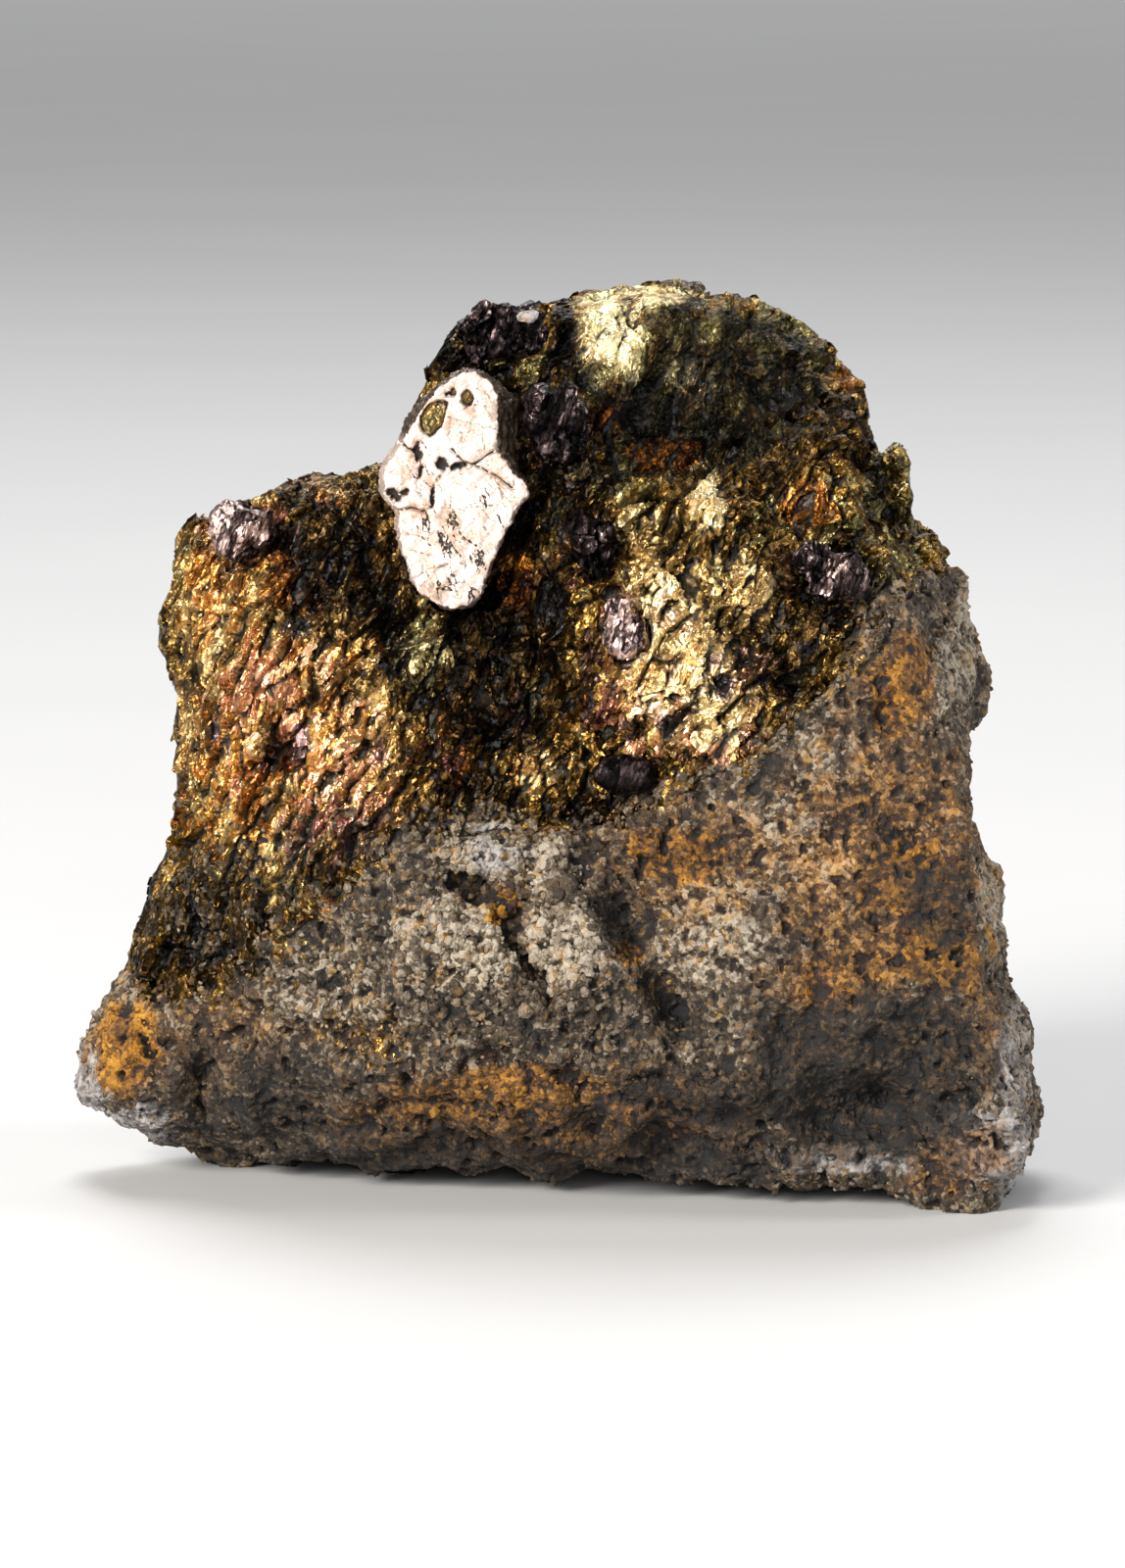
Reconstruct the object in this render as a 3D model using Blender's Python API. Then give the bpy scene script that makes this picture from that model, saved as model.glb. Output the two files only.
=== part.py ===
"""A hand specimen of arsenohauchecornite on chalcopyrite.

A broken block of grey, granular gangue carries a cap of foliated chalcopyrite. One tabular
arsenohauchecornite crystal stands proud of the chalcopyrite, and smaller grains of the same
mineral are set in it. Each mineral is its own solid, 0.3 mm clear of its neighbours.
The frame has +X to the right, +Z up and the collector's side facing -Y.
"""

import math
import random

import bmesh
import bpy
import numpy as np
from mathutils import Euler, Matrix, Vector, kdtree

MM = 0.001

# Driving sizes of the whole specimen, in millimetres.
HEIGHT = 36.9
GAP = 0.3
CAST_STEP = 0.42
BLOCK_TRIANGLES = 7000

# The left and right edges of the specimen seen from the front: height, then place across.
LEFT_EDGE = (
    (0.0, -14.6), (0.7, -16.6), (1.3, -18.0), (2.1, -19.2), (3.0, -19.8), (4.8, -20.0),
    (6.6, -19.4), (7.2, -19.0), (8.5, -17.9), (10.1, -17.1), (11.9, -16.8), (13.3, -16.1),
    (16.7, -15.9), (20.3, -16.0), (21.8, -16.4), (23.2, -16.5), (24.3, -15.9), (26.5, -15.5),
    (26.9, -14.6), (27.4, -14.2), (28.3, -12.6), (28.9, -10.1), (29.3, -7.6), (29.9, -6.9),
    (30.9, -6.2), (32.7, -5.6), (34.1, -5.0), (35.2, -4.6), (35.9, -3.6), (36.0, 0.3),
    (36.6, 1.3), (36.8, 2.5), (37.1, 3.6),
)
RIGHT_EDGE = (
    (0.0, 17.8), (0.6, 18.6), (1.1, 19.7), (2.7, 20.0), (4.9, 19.7), (6.4, 19.6), (7.5, 19.2),
    (8.3, 18.6), (10.9, 18.5), (12.6, 18.4), (13.5, 17.6), (14.5, 17.0), (17.6, 16.9),
    (18.7, 17.1), (19.4, 17.7), (21.0, 17.8), (22.6, 17.4), (24.7, 16.8), (25.4, 16.1),
    (26.1, 16.0), (27.6, 14.2), (30.7, 12.9), (32.7, 13.0), (33.4, 12.3), (34.4, 11.2),
    (35.7, 9.8), (36.2, 8.3), (36.8, 6.1), (37.1, 4.4),
)

# The sharp vertical edge on the right, where the front face turns into the side face.
ARRIS = (
    (0.0, 17.4), (4.2, 18.9), (6.2, 18.3), (7.4, 17.9), (9.2, 17.0), (10.9, 17.3), (13.0, 17.0),
    (15.6, 16.5), (17.2, 16.4), (20.5, 15.8), (23.8, 14.3), (27.0, 12.8), (31.0, 11.6),
    (34.0, 9.6), (37.1, 4.0),
)

# How far forward the front stands: a row for each height, a value for each place across.
FRONT_PLACES = (-16.0, -11.0, -5.0, 0.0, 3.5, 8.0, 13.0, 17.5)
FRONT_ROWS = (
    (0.0, (1.2, -1.5, -3.5, -4.5, -5.5, -6.5, -8.0, -9.8)),
    (2.0, (-2.0, -3.8, -6.0, -7.2, -7.8, -8.2, -8.8, -10.6)),
    (5.0, (-4.0, -6.0, -8.6, -9.4, -9.6, -9.4, -9.2, -10.6)),
    (9.0, (-4.6, -7.0, -9.6, -10.4, -9.2, -10.2, -10.2, -9.8)),
    (13.0, (-5.0, -7.0, -9.0, -9.8, -8.6, -9.6, -9.9, -9.0)),
    (17.0, (-4.6, -7.2, -7.8, -7.2, -8.0, -9.1, -8.9, -8.0)),
    (21.0, (-4.4, -7.4, -7.0, -6.3, -8.1, -8.7, -8.4, -6.6)),
    (25.0, (-3.4, -6.0, -6.3, -6.4, -7.9, -8.0, -7.0, -4.2)),
    (28.4, (-1.6, -4.0, -5.0, -5.8, -7.0, -7.0, -5.4, -3.0)),
    (30.0, (-1.0, -2.8, -4.4, -4.8, -5.4, -5.8, -4.6, -2.4)),
    (33.0, (-0.6, -1.8, -3.3, -3.6, -3.4, -3.2, -2.2, -1.0)),
    (37.1, (0.6, 0.2, -0.8, -1.2, -1.4, -1.0, -0.2, 0.4)),
)

# How far back the rear stands, in the same way.
BACK_PLACES = (-18.0, -8.0, 2.0, 11.0, 18.0)
BACK_ROWS = (
    (0.0, (7.0, 10.6, 11.4, 10.2, 6.4)),
    (4.0, (8.8, 12.2, 12.8, 11.6, 7.6)),
    (12.0, (8.0, 11.6, 12.2, 10.2, 7.4)),
    (20.0, (6.6, 9.0, 10.4, 9.4, 6.6)),
    (28.0, (4.2, 6.4, 8.0, 7.2, 5.0)),
    (34.0, (2.4, 4.0, 5.4, 4.6, 3.4)),
    (37.1, (1.4, 2.2, 2.8, 2.4, 1.8)),
)
LEFT_EDGE_DEPTH = ((0.0, 2.2), (4.0, 1.0), (14.0, 0.4), (26.0, 0.4), (37.1, 0.8))
RIGHT_EDGE_DEPTH = ((0.0, -5.0), (3.0, -1.5), (8.0, 1.6), (20.0, 1.8), (28.0, 1.0), (37.1, 0.8))

# The contact between the gangue below and the chalcopyrite above: place across, then height.
CONTACT = (
    (-26.0, 9.4), (-17.8, 9.6), (-16.0, 9.0), (-13.8, 9.6), (-11.7, 11.2), (-9.7, 12.8),
    (-6.9, 14.4), (-5.3, 15.2), (1.2, 15.3), (3.4, 16.0), (5.3, 17.1), (7.7, 18.3),
    (10.1, 20.4), (11.3, 21.6), (12.6, 23.2), (13.6, 25.1), (14.8, 26.2), (26.0, 27.4),
)
CONTACT_GAP = 0.44
CONTACT_DIP = 0.16

# The ledge under the recessed upper face, and the fissure that splits the grey lump.
LEDGE = ((0.6, 30.6), (1.6, 29.6), (2.8, 29.0), (5.3, 29.2), (6.9, 30.3), (9.3, 32.0), (11.3, 32.6))
LEDGE_RECESS = 1.3
FISSURE = ((-4.1, 13.5), (-3.0, 12.9), (-1.9, 12.0), (-2.0, 11.1), (-1.1, 9.6), (-0.3, 8.3))
FISSURE_WIDTH = 0.55
FISSURE_DEPTH = 1.3

# Rounded features of the front: place across, height, reach along, reach across, turn in
# degrees, and how far the middle stands forward, or lies back where it is negative.
FRONT_FEATURES = (
    # the grey knobbly lump in the middle, and the valley to its right
    (-2.8, 11.4, 2.4, 3.6, -12, 0.7),
    (1.6, 10.6, 2.6, 3.8, 8, 0.9),
    (-6.5, 8.6, 2.6, 2.2, 0, 0.6),
    (-1.0, 15.0, 2.8, 1.0, 0, 0.6),
    (2.6, 11.9, 1.0, 2.2, 24, -1.5),
    (4.6, 8.4, 1.0, 2.4, 38, -1.3),
    (6.6, 5.0, 2.4, 1.1, 0, 1.0),
    # the left face: its big bright flakes, and the hollows beside them
    (-12.2, 20.0, 1.3, 2.2, -20, 0.6),
    (-11.7, 18.0, 0.8, 1.6, -30, -1.0),
    (-13.6, 14.6, 1.5, 2.6, -25, 0.5),
    (-9.4, 16.2, 1.0, 2.6, -30, 0.5),
    (-7.6, 19.6, 1.2, 2.6, -28, -0.6),
    (-4.4, 18.6, 1.0, 2.6, -25, 0.5),
    (-2.0, 20.6, 2.6, 2.6, 0, -0.7),
    (-0.3, 24.8, 1.0, 1.6, -10, -1.0),
    (-5.6, 22.6, 1.3, 1.8, 15, 0.4),
    (-9.0, 25.4, 2.4, 1.4, 20, -0.6),
    (-11.2, 26.8, 1.1, 1.2, 0, -1.0),
    (-14.6, 25.4, 1.0, 1.6, -10, 0.5),
    # the bright lens right of the middle, and the dark ground round it
    (4.6, 22.6, 1.6, 4.2, -42, 0.8),
    (5.6, 18.9, 1.2, 2.6, -48, 0.5),
    (8.4, 24.0, 1.0, 3.2, -35, -0.7),
    (9.6, 21.6, 1.2, 2.2, -30, -0.6),
    (6.0, 28.2, 0.9, 1.6, 0, 0.7),
    (3.8, 28.0, 1.1, 1.2, 0, -0.5),
    (9.4, 28.0, 1.6, 1.5, -20, -1.0),
    (10.6, 30.4, 1.4, 1.2, 20, 0.7),
    # the upper block: a shallow shell-like hollow between two bright ribs
    (4.8, 32.0, 3.0, 2.6, -20, -0.9),
    (2.0, 34.6, 1.4, 2.4, 5, 0.6),
    (8.6, 35.0, 1.6, 1.8, -30, -0.5),
    (10.8, 33.4, 1.4, 2.0, -35, 0.6),
    # the right face: its small round hollow, its stained pits and the lump at its foot
    (13.0, 20.3, 1.0, 1.0, 0, -1.0),
    (13.6, 15.6, 1.2, 0.7, 0, -0.6),
    (15.8, 11.0, 0.8, 0.5, 0, -0.5),
    (10.4, 16.8, 3.0, 1.4, 30, 0.4),
    (12.0, 4.2, 3.4, 1.8, 0, -1.5),
    (17.6, 4.4, 1.4, 1.2, 0, 0.6),
    (7.6, 12.4, 2.4, 2.6, 0, 0.4),
    # the left foot, its dark hollow and the broken rib beside it
    (-17.6, 5.2, 2.2, 3.2, 10, 1.3),
    (-14.6, 4.0, 1.1, 2.6, 5, -1.4),
    (-12.6, 3.2, 0.7, 2.2, 8, 0.7),
    (-9.6, 3.0, 1.6, 1.4, 0, -1.0),
    (-11.0, 8.6, 2.2, 1.4, 20, 0.5),
    # the undercut band along the bottom
    (-2.0, 4.4, 3.2, 1.4, 0, 0.6),
    (1.4, 3.4, 1.1, 0.6, 0, -0.7),
    (4.4, 2.4, 2.6, 1.0, 0, -0.5),
)

# Where the underside reaches the surface that it stands on: across, depth, and reach.
FEET = (
    (-13.2, 3.6, 3.0), (16.2, -7.4, 2.8), (11.6, 7.0, 3.2), (-8.0, 8.6, 3.2), (1.0, 5.0, 2.6),
    (-6.0, 2.0, 2.2),
)
FOOT_PRESS = 0.35
ARCH = 0.75

# The main crystal seen along its face: across and up from its middle, point by point.
CRYSTAL_OUTLINE = (
    (-3.0, 0.2), (-2.7, 1.4), (-2.2, 2.1), (-1.8, 3.1), (-1.1, 4.1), (0.0, 4.9), (0.6, 5.1),
    (1.2, 4.7), (1.9, 3.8), (1.8, 1.8), (2.2, 0.8), (3.0, -0.2), (2.3, -1.8), (1.5, -3.2),
    (1.4, -4.0), (1.1, -4.7), (0.0, -5.0), (-0.8, -4.7), (-1.7, -4.0), (-2.0, -2.7),
    (-2.3, -1.8), (-2.3, -0.9), (-2.8, -0.3),
)
CRYSTAL_MIDDLE = (-4.2, -6.2, 29.2)
CRYSTAL_THICKNESS = 3.0
CRYSTAL_TURN = (-4.0, 0.0, 5.0)
CRYSTAL_SPREAD = (1.05, 1.04)
CRYSTAL_SIDE_SHOWN = (0.30, 0.15)
CRYSTAL_RIM = 0.16

# Pits in the crystal's face: across and up from its middle, half width, half height, turn.
CRYSTAL_PITS = (
    (-0.80, 2.90, 0.45, 0.70, -12),
    (0.60, 3.75, 0.22, 0.30, 0),
    (0.20, 0.95, 0.28, 0.34, 20),
    (-1.25, 1.45, 0.20, 0.36, 30),
)
CRYSTAL_PIT_DEPTH = 0.35

# The smaller grains of the same mineral: name, middle, half sizes, turn in degrees, seed.
GRAINS = (
    ("arsenohauchecornite_beside_crystal", (0.2, -4.9, 31.7), (1.5, 1.2, 1.2), 10, 5),
    ("arsenohauchecornite_middle", (1.5, -6.2, 27.0), (1.3, 1.2, 1.4), 0, 11),
    ("arsenohauchecornite_pink", (2.6, -7.6, 23.9), (0.9, 1.1, 1.5), -15, 17),
    ("arsenohauchecornite_dark_oval", (2.7, -8.0, 17.8), (1.2, 1.0, 0.8), 10, 23),
    ("arsenohauchecornite_top", (-2.3, -0.9, 35.0), (2.1, 1.5, 1.0), 0, 31),
    ("arsenohauchecornite_shoulder", (-13.0, -2.6, 27.0), (1.5, 1.3, 1.3), 35, 37),
    ("arsenohauchecornite_right", (10.8, -7.2, 26.0), (1.6, 1.1, 1.0), -20, 43),
)
GRAIN_ROUGHNESS = 0.12

# Sharp chalcopyrite crystals on the right edge: middle, size, turn in degrees.
EDGE_CRYSTALS = (
    ((13.5, -1.7, 29.5), 2.2, (20, 15, 40)),
    ((13.8, -0.9, 28.2), 1.9, (-35, 40, 10)),
    ((12.5, -3.0, 28.6), 1.5, (10, -30, 65)),
)

# Colour, metallic value and roughness of each mineral.
CHALCOPYRITE = ((0.55, 0.40, 0.14), 0.9, 0.38)
GANGUE = ((0.34, 0.31, 0.27), 0.0, 0.85)
BRIGHT_CRYSTAL = ((0.86, 0.74, 0.68), 0.9, 0.30)
DARK_GRAIN = ((0.30, 0.22, 0.22), 0.8, 0.35)


def clear_scene():
    for thing in list(bpy.data.objects):
        bpy.data.objects.remove(thing, do_unlink=True)


def mineral(name, look):
    """A plain material for one mineral."""
    colour, metallic, roughness = look
    material = bpy.data.materials.new(name)
    material.use_nodes = True
    shader = material.node_tree.nodes["Principled BSDF"]
    shader.inputs["Base Color"].default_value = (*colour, 1.0)
    shader.inputs["Metallic"].default_value = metallic
    shader.inputs["Roughness"].default_value = roughness
    return material


def add_object(name, mesh, material=None):
    piece = bpy.data.objects.new(name, mesh)
    bpy.context.scene.collection.objects.link(piece)
    if material is not None:
        mesh.materials.clear()
        mesh.materials.append(material)
    return piece


def mesh_from(bm, name):
    mesh = bpy.data.meshes.new(name)
    bm.to_mesh(mesh)
    bm.free()
    return mesh


def places_of(mesh):
    """The mesh's points as an array with a row for each, in millimetres."""
    flat = np.empty(len(mesh.vertices) * 3, dtype=np.float32)
    mesh.vertices.foreach_get("co", flat)
    return flat.reshape(-1, 3).astype(np.float64) / MM


def move_points(mesh, places):
    mesh.vertices.foreach_set("co", (places * MM).astype(np.float32).ravel())
    mesh.update()


def settle(piece):
    """Replaces an object's mesh by the result of its modifiers."""
    graph = bpy.context.evaluated_depsgraph_get()
    mesh = bpy.data.meshes.new_from_object(piece.evaluated_get(graph))
    piece.modifiers.clear()
    piece.data = mesh
    return piece


def along(table, heights):
    """Reads a table of (height, value) pairs at each height."""
    rows = np.array(table)
    return np.interp(heights, rows[:, 0], rows[:, 1])


def surface_depth(places, rows, across, heights):
    """Depth of a face given by rows of values, read at places across and heights."""
    levels = np.array([row[0] for row in rows])
    depths = np.array([np.interp(across, places, row[1]) for row in rows])
    upper = np.clip(np.searchsorted(levels, heights), 1, len(levels) - 1)
    share = (heights - levels[upper - 1]) / (levels[upper] - levels[upper - 1])
    share = np.clip(share, 0.0, 1.0)
    each = np.arange(len(across))
    return depths[upper - 1, each] * (1.0 - share) + depths[upper, each] * share


def block_shape(sphere):
    """Turns the points of a unit sphere into the broken block, in millimetres."""
    wall_share = 0.80
    polar = np.arccos(np.clip(sphere[:, 2], -1.0, 1.0)) / math.pi
    turn = np.arctan2(sphere[:, 0], -sphere[:, 1])
    wall = np.clip(polar / wall_share, 0.0, 1.0)
    heights = HEIGHT * (1.0 - wall)
    side = np.sin(turn)
    left = along(LEFT_EDGE, heights)
    right = along(RIGHT_EDGE, heights)
    across = left + (right - left) * (side + 1.0) / 2.0
    edge_depth = np.where(side < 0.0, along(LEFT_EDGE_DEPTH, heights), along(RIGHT_EDGE_DEPTH, heights))
    middle_depth = (along(LEFT_EDGE_DEPTH, heights) + along(RIGHT_EDGE_DEPTH, heights)) / 2.0
    edge_depth = middle_depth + (edge_depth - middle_depth) * np.abs(side)

    front = surface_depth(FRONT_PLACES, FRONT_ROWS, across, heights)
    rounding = (1.0 - np.abs(side) ** 4.5) ** (1.0 / 2.2)
    arris = along(ARRIS, heights)
    past_arris = np.clip((across - arris) / np.maximum(right - arris, 0.05), 0.0, 1.0)
    squared = np.where(side > 0.0, 1.0 - past_arris, rounding)
    front = edge_depth + (front - edge_depth) * squared

    back = surface_depth(BACK_PLACES, BACK_ROWS, across, heights)
    back = edge_depth + (back - edge_depth) * (1.0 - np.abs(side) ** 3.0) ** (1.0 / 2.4)
    depth = np.where(np.cos(turn) > 0.0, front, back)

    inward = np.clip((1.0 - polar) / (1.0 - wall_share), 0.0, 1.0)
    across = 1.0 + (across - 1.0) * inward
    depth = 2.0 + (depth - 2.0) * inward
    return np.stack([across, depth, heights], axis=1)


def mound(across, heights, feature):
    """A rounded swelling or hollow on the front: its lift at each place."""
    middle_across, middle_height, reach_a, reach_b, turn, lift = feature
    angle = math.radians(turn)
    da = across - middle_across
    dh = heights - middle_height
    first = (da * math.cos(angle) + dh * math.sin(angle)) / reach_a
    second = (dh * math.cos(angle) - da * math.sin(angle)) / reach_b
    rest = np.clip(1.0 - first**2 - second**2, 0.0, 1.0)
    return lift * rest * rest * (3.0 - 2.0 * rest)


def distance_to_line(across, heights, line):
    """Distance of each place to a broken line of points."""
    best = np.full(len(across), 1e9)
    for start, end in zip(line, line[1:]):
        step = (end[0] - start[0], end[1] - start[1])
        length = step[0] ** 2 + step[1] ** 2
        share = ((across - start[0]) * step[0] + (heights - start[1]) * step[1]) / length
        share = np.clip(share, 0.0, 1.0)
        away = np.hypot(across - start[0] - share * step[0], heights - start[1] - share * step[1])
        best = np.minimum(best, away)
    return best


def cells(points, stretch, turn, spacing, seed):
    """The nearest of a seeded scatter of cell centres, and the way to it, for each point."""
    frame = np.array(Euler([math.radians(a) for a in turn]).to_matrix())
    local = points @ frame / np.array(stretch)
    low = local.min(axis=0) - spacing
    high = local.max(axis=0) + spacing
    count = max(4, int(np.prod((high - low) / spacing)))
    draw = np.random.default_rng(seed)
    centres = low + draw.random((count, 3)) * (high - low)
    tree = kdtree.KDTree(count)
    for index, centre in enumerate(centres):
        tree.insert(centre, index)
    tree.balance()
    nearest = np.array([tree.find(point)[1] for point in local])
    return nearest, (local - centres[nearest]) / spacing, draw.random((count, 4)) * 2.0 - 1.0


def plates(points, stretch, turn, spacing, seed, lift, tilt):
    """Flat, tilted flakes at different levels, one in each cell."""
    nearest, away, chance = cells(points, stretch, turn, spacing, seed)
    slope = (away * chance[nearest, 1:]).sum(axis=1)
    return lift * chance[nearest, 0] + tilt * slope


def knobs(points, spacing, seed, lift):
    """Rounded granular knobs, one in each cell."""
    nearest, away, chance = cells(points, (1, 1, 1), (0, 0, 0), spacing, seed)
    height = 0.6 - 2.0 * (away**2).sum(axis=1)
    return lift * height * (0.7 + 0.3 * chance[nearest, 0])


def normals_of(mesh):
    flat = np.empty(len(mesh.vertices) * 3, dtype=np.float32)
    mesh.vertex_normals.foreach_get("vector", flat)
    return flat.reshape(-1, 3)


def carve(mesh):
    """Gives the block its features: ledge, fissure, lumps, hollows, flakes, knobs and feet."""
    points = places_of(mesh)
    normals = normals_of(mesh)
    across, depth, heights = points.T
    facing = np.clip((-normals[:, 1] - 0.15) / 0.45, 0.0, 1.0)

    forward = np.zeros(len(points))
    for feature in FRONT_FEATURES:
        forward += mound(across, heights, feature)
    ledge = np.array(LEDGE)
    ledge_height = np.interp(across, ledge[:, 0], ledge[:, 1])
    beside = np.clip((across - 0.2) / 1.4, 0.0, 1.0) * np.clip((12.4 - across) / 2.4, 0.0, 1.0)
    above = np.clip((heights - ledge_height) / 0.35, 0.0, 1.0)
    fade = np.clip((ledge_height + 5.5 - heights) / 4.5, 0.0, 1.0)
    forward -= LEDGE_RECESS * beside * above * fade
    fissure = distance_to_line(across, heights, FISSURE)
    forward -= FISSURE_DEPTH * np.clip(1.0 - fissure / FISSURE_WIDTH, 0.0, 1.0) ** 0.7
    points[:, 1] -= forward * facing

    contact = np.array(CONTACT)
    contact_height = np.interp(across, contact[:, 0], contact[:, 1]) - CONTACT_DIP * (depth + 7.0)
    metal = np.clip((heights - contact_height) / 1.5 + 0.5, 0.0, 1.0)
    rear = np.clip(normals[:, 1] * 1.6, 0.0, 1.0)
    flakes = plates(points, (0.8, 1.0, 1.9), (0, 24, 0), 2.1, 3, 0.24, 0.26)
    grains = knobs(points, 1.5, 7, 0.34) + 0.5 * knobs(points, 3.4, 8, 0.5)
    faces = plates(points, (1, 1, 1), (20, 30, 10), 8.0, 13, 0.55, 0.75) * rear
    lift = flakes * metal + grains * (1.0 - metal) + faces
    flat_base = np.clip(heights / 1.5, 0.0, 1.0)
    points += normals * (lift * flat_base)[:, None]

    under = np.clip((-normals[:, 2] - 0.5) / 0.4, 0.0, 1.0) * (heights < 2.0)
    press = np.zeros(len(points))
    for foot in FEET:
        away = np.hypot(across - foot[0], depth - foot[1]) / foot[2]
        press = np.maximum(press, np.clip(1.35 * (1.0 - away**2), 0.0, 1.0))
    points[:, 2] += under * (ARCH - (ARCH + FOOT_PRESS) * press)
    move_points(mesh, points)


def block():
    """The whole specimen as one closed skin, before it is parted by mineral."""
    bm = bmesh.new()
    bmesh.ops.create_uvsphere(bm, u_segments=192, v_segments=144, radius=1.0)
    mesh = mesh_from(bm, "block")
    move_points(mesh, block_shape(places_of(mesh) * MM))
    piece = add_object("block", mesh)
    cast = piece.modifiers.new("cast", "REMESH")
    cast.mode = "VOXEL"
    cast.voxel_size = CAST_STEP * MM
    settle(piece)
    carve(piece.data)
    thin = piece.modifiers.new("thin", "DECIMATE")
    triangles = sum(len(face.vertices) - 2 for face in piece.data.polygons)
    thin.ratio = BLOCK_TRIANGLES / triangles
    thin.use_collapse_triangulate = True
    settle(piece)
    return piece


def combine(piece, other, operation):
    """Joins, cuts or keeps the shared part of two solids."""
    cut = piece.modifiers.new(operation.lower(), "BOOLEAN")
    cut.operation = operation
    cut.solver = "EXACT"
    cut.object = other
    settle(piece)


def drop(piece):
    bpy.data.objects.remove(piece, do_unlink=True)


def edge_crystal(middle, size, turn):
    """One sharp sphenoid: a four-faced crystal with a small face on each tip."""
    bm = bmesh.new()
    corners = [(1, 1, 1), (1, -1, -1), (-1, 1, -1), (-1, -1, 1)]
    for corner in corners:
        bm.verts.new(corner)
    bmesh.ops.convex_hull(bm, input=bm.verts[:])
    turning = Euler([math.radians(a) for a in turn]).to_matrix().to_4x4()
    place = Matrix.Translation(Vector(middle) * MM) @ turning @ Matrix.Scale(size * 0.58 * MM, 4)
    bmesh.ops.transform(bm, matrix=place, verts=bm.verts[:])
    bmesh.ops.recalc_face_normals(bm, faces=bm.faces[:])
    return add_object("edge_crystal", mesh_from(bm, "edge_crystal"))


def region(above, shift):
    """A slab reaching through the block, bounded by the contact between the two minerals."""
    bm = bmesh.new()
    near = -30.0
    far = 30.0
    line = [(across, height + shift) for across, height in CONTACT]
    closing = 60.0 if above else 0.0
    corners = []
    for across, height in line:
        corners.append(bm.verts.new((across, near, height - CONTACT_DIP * (near + 7.0))))
    corners.append(bm.verts.new((line[-1][0], near, closing)))
    corners.append(bm.verts.new((line[0][0], near, closing)))
    bm.faces.new(corners)
    swept = bmesh.ops.extrude_face_region(bm, geom=bm.faces[:])
    for vert in [g for g in swept["geom"] if isinstance(g, bmesh.types.BMVert)]:
        vert.co.y = far
        if abs(vert.co.z - closing) > 1e-6:
            vert.co.z -= CONTACT_DIP * (far - near)
    for vert in bm.verts:
        vert.co *= MM
    bmesh.ops.recalc_face_normals(bm, faces=bm.faces[:])
    return add_object("region", mesh_from(bm, "region"))


def keep_largest(piece):
    """Leaves only the biggest connected body of an object."""
    bm = bmesh.new()
    bm.from_mesh(piece.data)
    left = set(bm.faces)
    bodies = []
    while left:
        body = set()
        queue = [left.pop()]
        while queue:
            face = queue.pop()
            body.add(face)
            for edge in face.edges:
                for other in edge.link_faces:
                    if other in left:
                        left.discard(other)
                        queue.append(other)
        bodies.append(body)
    bodies.sort(key=lambda body: sum(face.calc_area() for face in body))
    small = [face for body in bodies[:-1] for face in body]
    bmesh.ops.delete(bm, geom=small, context="FACES")
    bmesh.ops.triangulate(bm, faces=bm.faces[:])
    bm.to_mesh(piece.data)
    bm.free()


def widened(outline, margin):
    """The outline moved outwards by a margin, corner by corner."""
    count = len(outline)
    result = []
    for index in range(count):
        before = Vector(outline[index - 1])
        here = Vector(outline[index])
        after = Vector(outline[(index + 1) % count])
        first = (here - before).normalized()
        second = (after - here).normalized()
        out = (Vector((-first.y, first.x)) + Vector((-second.y, second.x))).normalized()
        stretch = min(1.5, 1.0 / max(0.5, out.dot(Vector((-first.y, first.x)))))
        result.append(tuple(here + out * margin * stretch))
    return result


def crystal_body(name, margin, front_extra):
    """The tabular crystal, or with a margin the pocket that it sits in."""
    bm = bmesh.new()
    outline = widened(CRYSTAL_OUTLINE, margin) if margin else CRYSTAL_OUTLINE
    front = -front_extra
    back = CRYSTAL_THICKNESS + margin
    corners = [bm.verts.new((across, front, height)) for across, height in outline]
    bm.faces.new(corners)
    swept = bmesh.ops.extrude_face_region(bm, geom=bm.faces[:])
    share = 1.0 if margin == 0 else (back - front) / CRYSTAL_THICKNESS
    for vert in [g for g in swept["geom"] if isinstance(g, bmesh.types.BMVert)]:
        vert.co.x = vert.co.x * (1 + (CRYSTAL_SPREAD[0] - 1) * share) + CRYSTAL_SIDE_SHOWN[0] * share
        vert.co.z = vert.co.z * (1 + (CRYSTAL_SPREAD[1] - 1) * share) + CRYSTAL_SIDE_SHOWN[1] * share
        vert.co.y = back
    if margin == 0:
        rim = [edge for edge in bm.edges if all(vert.co.y == front for vert in edge.verts)]
        bmesh.ops.bevel(
            bm, geom=rim, offset=CRYSTAL_RIM, affect="EDGES", segments=1, profile=0.5, material=-1
        )
    turning = Euler([math.radians(a) for a in CRYSTAL_TURN]).to_matrix().to_4x4()
    place = Matrix.Scale(MM, 4) @ Matrix.Translation(CRYSTAL_MIDDLE) @ turning
    bmesh.ops.transform(bm, matrix=place, verts=bm.verts[:])
    bmesh.ops.recalc_face_normals(bm, faces=bm.faces[:])
    bmesh.ops.triangulate(bm, faces=bm.faces[:])
    return add_object(name, mesh_from(bm, name))


def crystal_pit(across, height, half_width, half_height, turn):
    """A small round hollow for the crystal's face."""
    bm = bmesh.new()
    bmesh.ops.create_icosphere(bm, subdivisions=1, radius=1.0)
    turning = Euler([math.radians(a) for a in CRYSTAL_TURN]).to_matrix().to_4x4()
    in_face = Matrix.Translation((across, 0.0, height)) @ Matrix.Rotation(math.radians(turn), 4, "Y")
    size = Matrix.Diagonal((half_width, CRYSTAL_PIT_DEPTH, half_height, 1.0))
    place = Matrix.Scale(MM, 4) @ Matrix.Translation(CRYSTAL_MIDDLE) @ turning @ in_face @ size
    bmesh.ops.transform(bm, matrix=place, verts=bm.verts[:])
    return add_object("pit", mesh_from(bm, "pit"))


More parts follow.
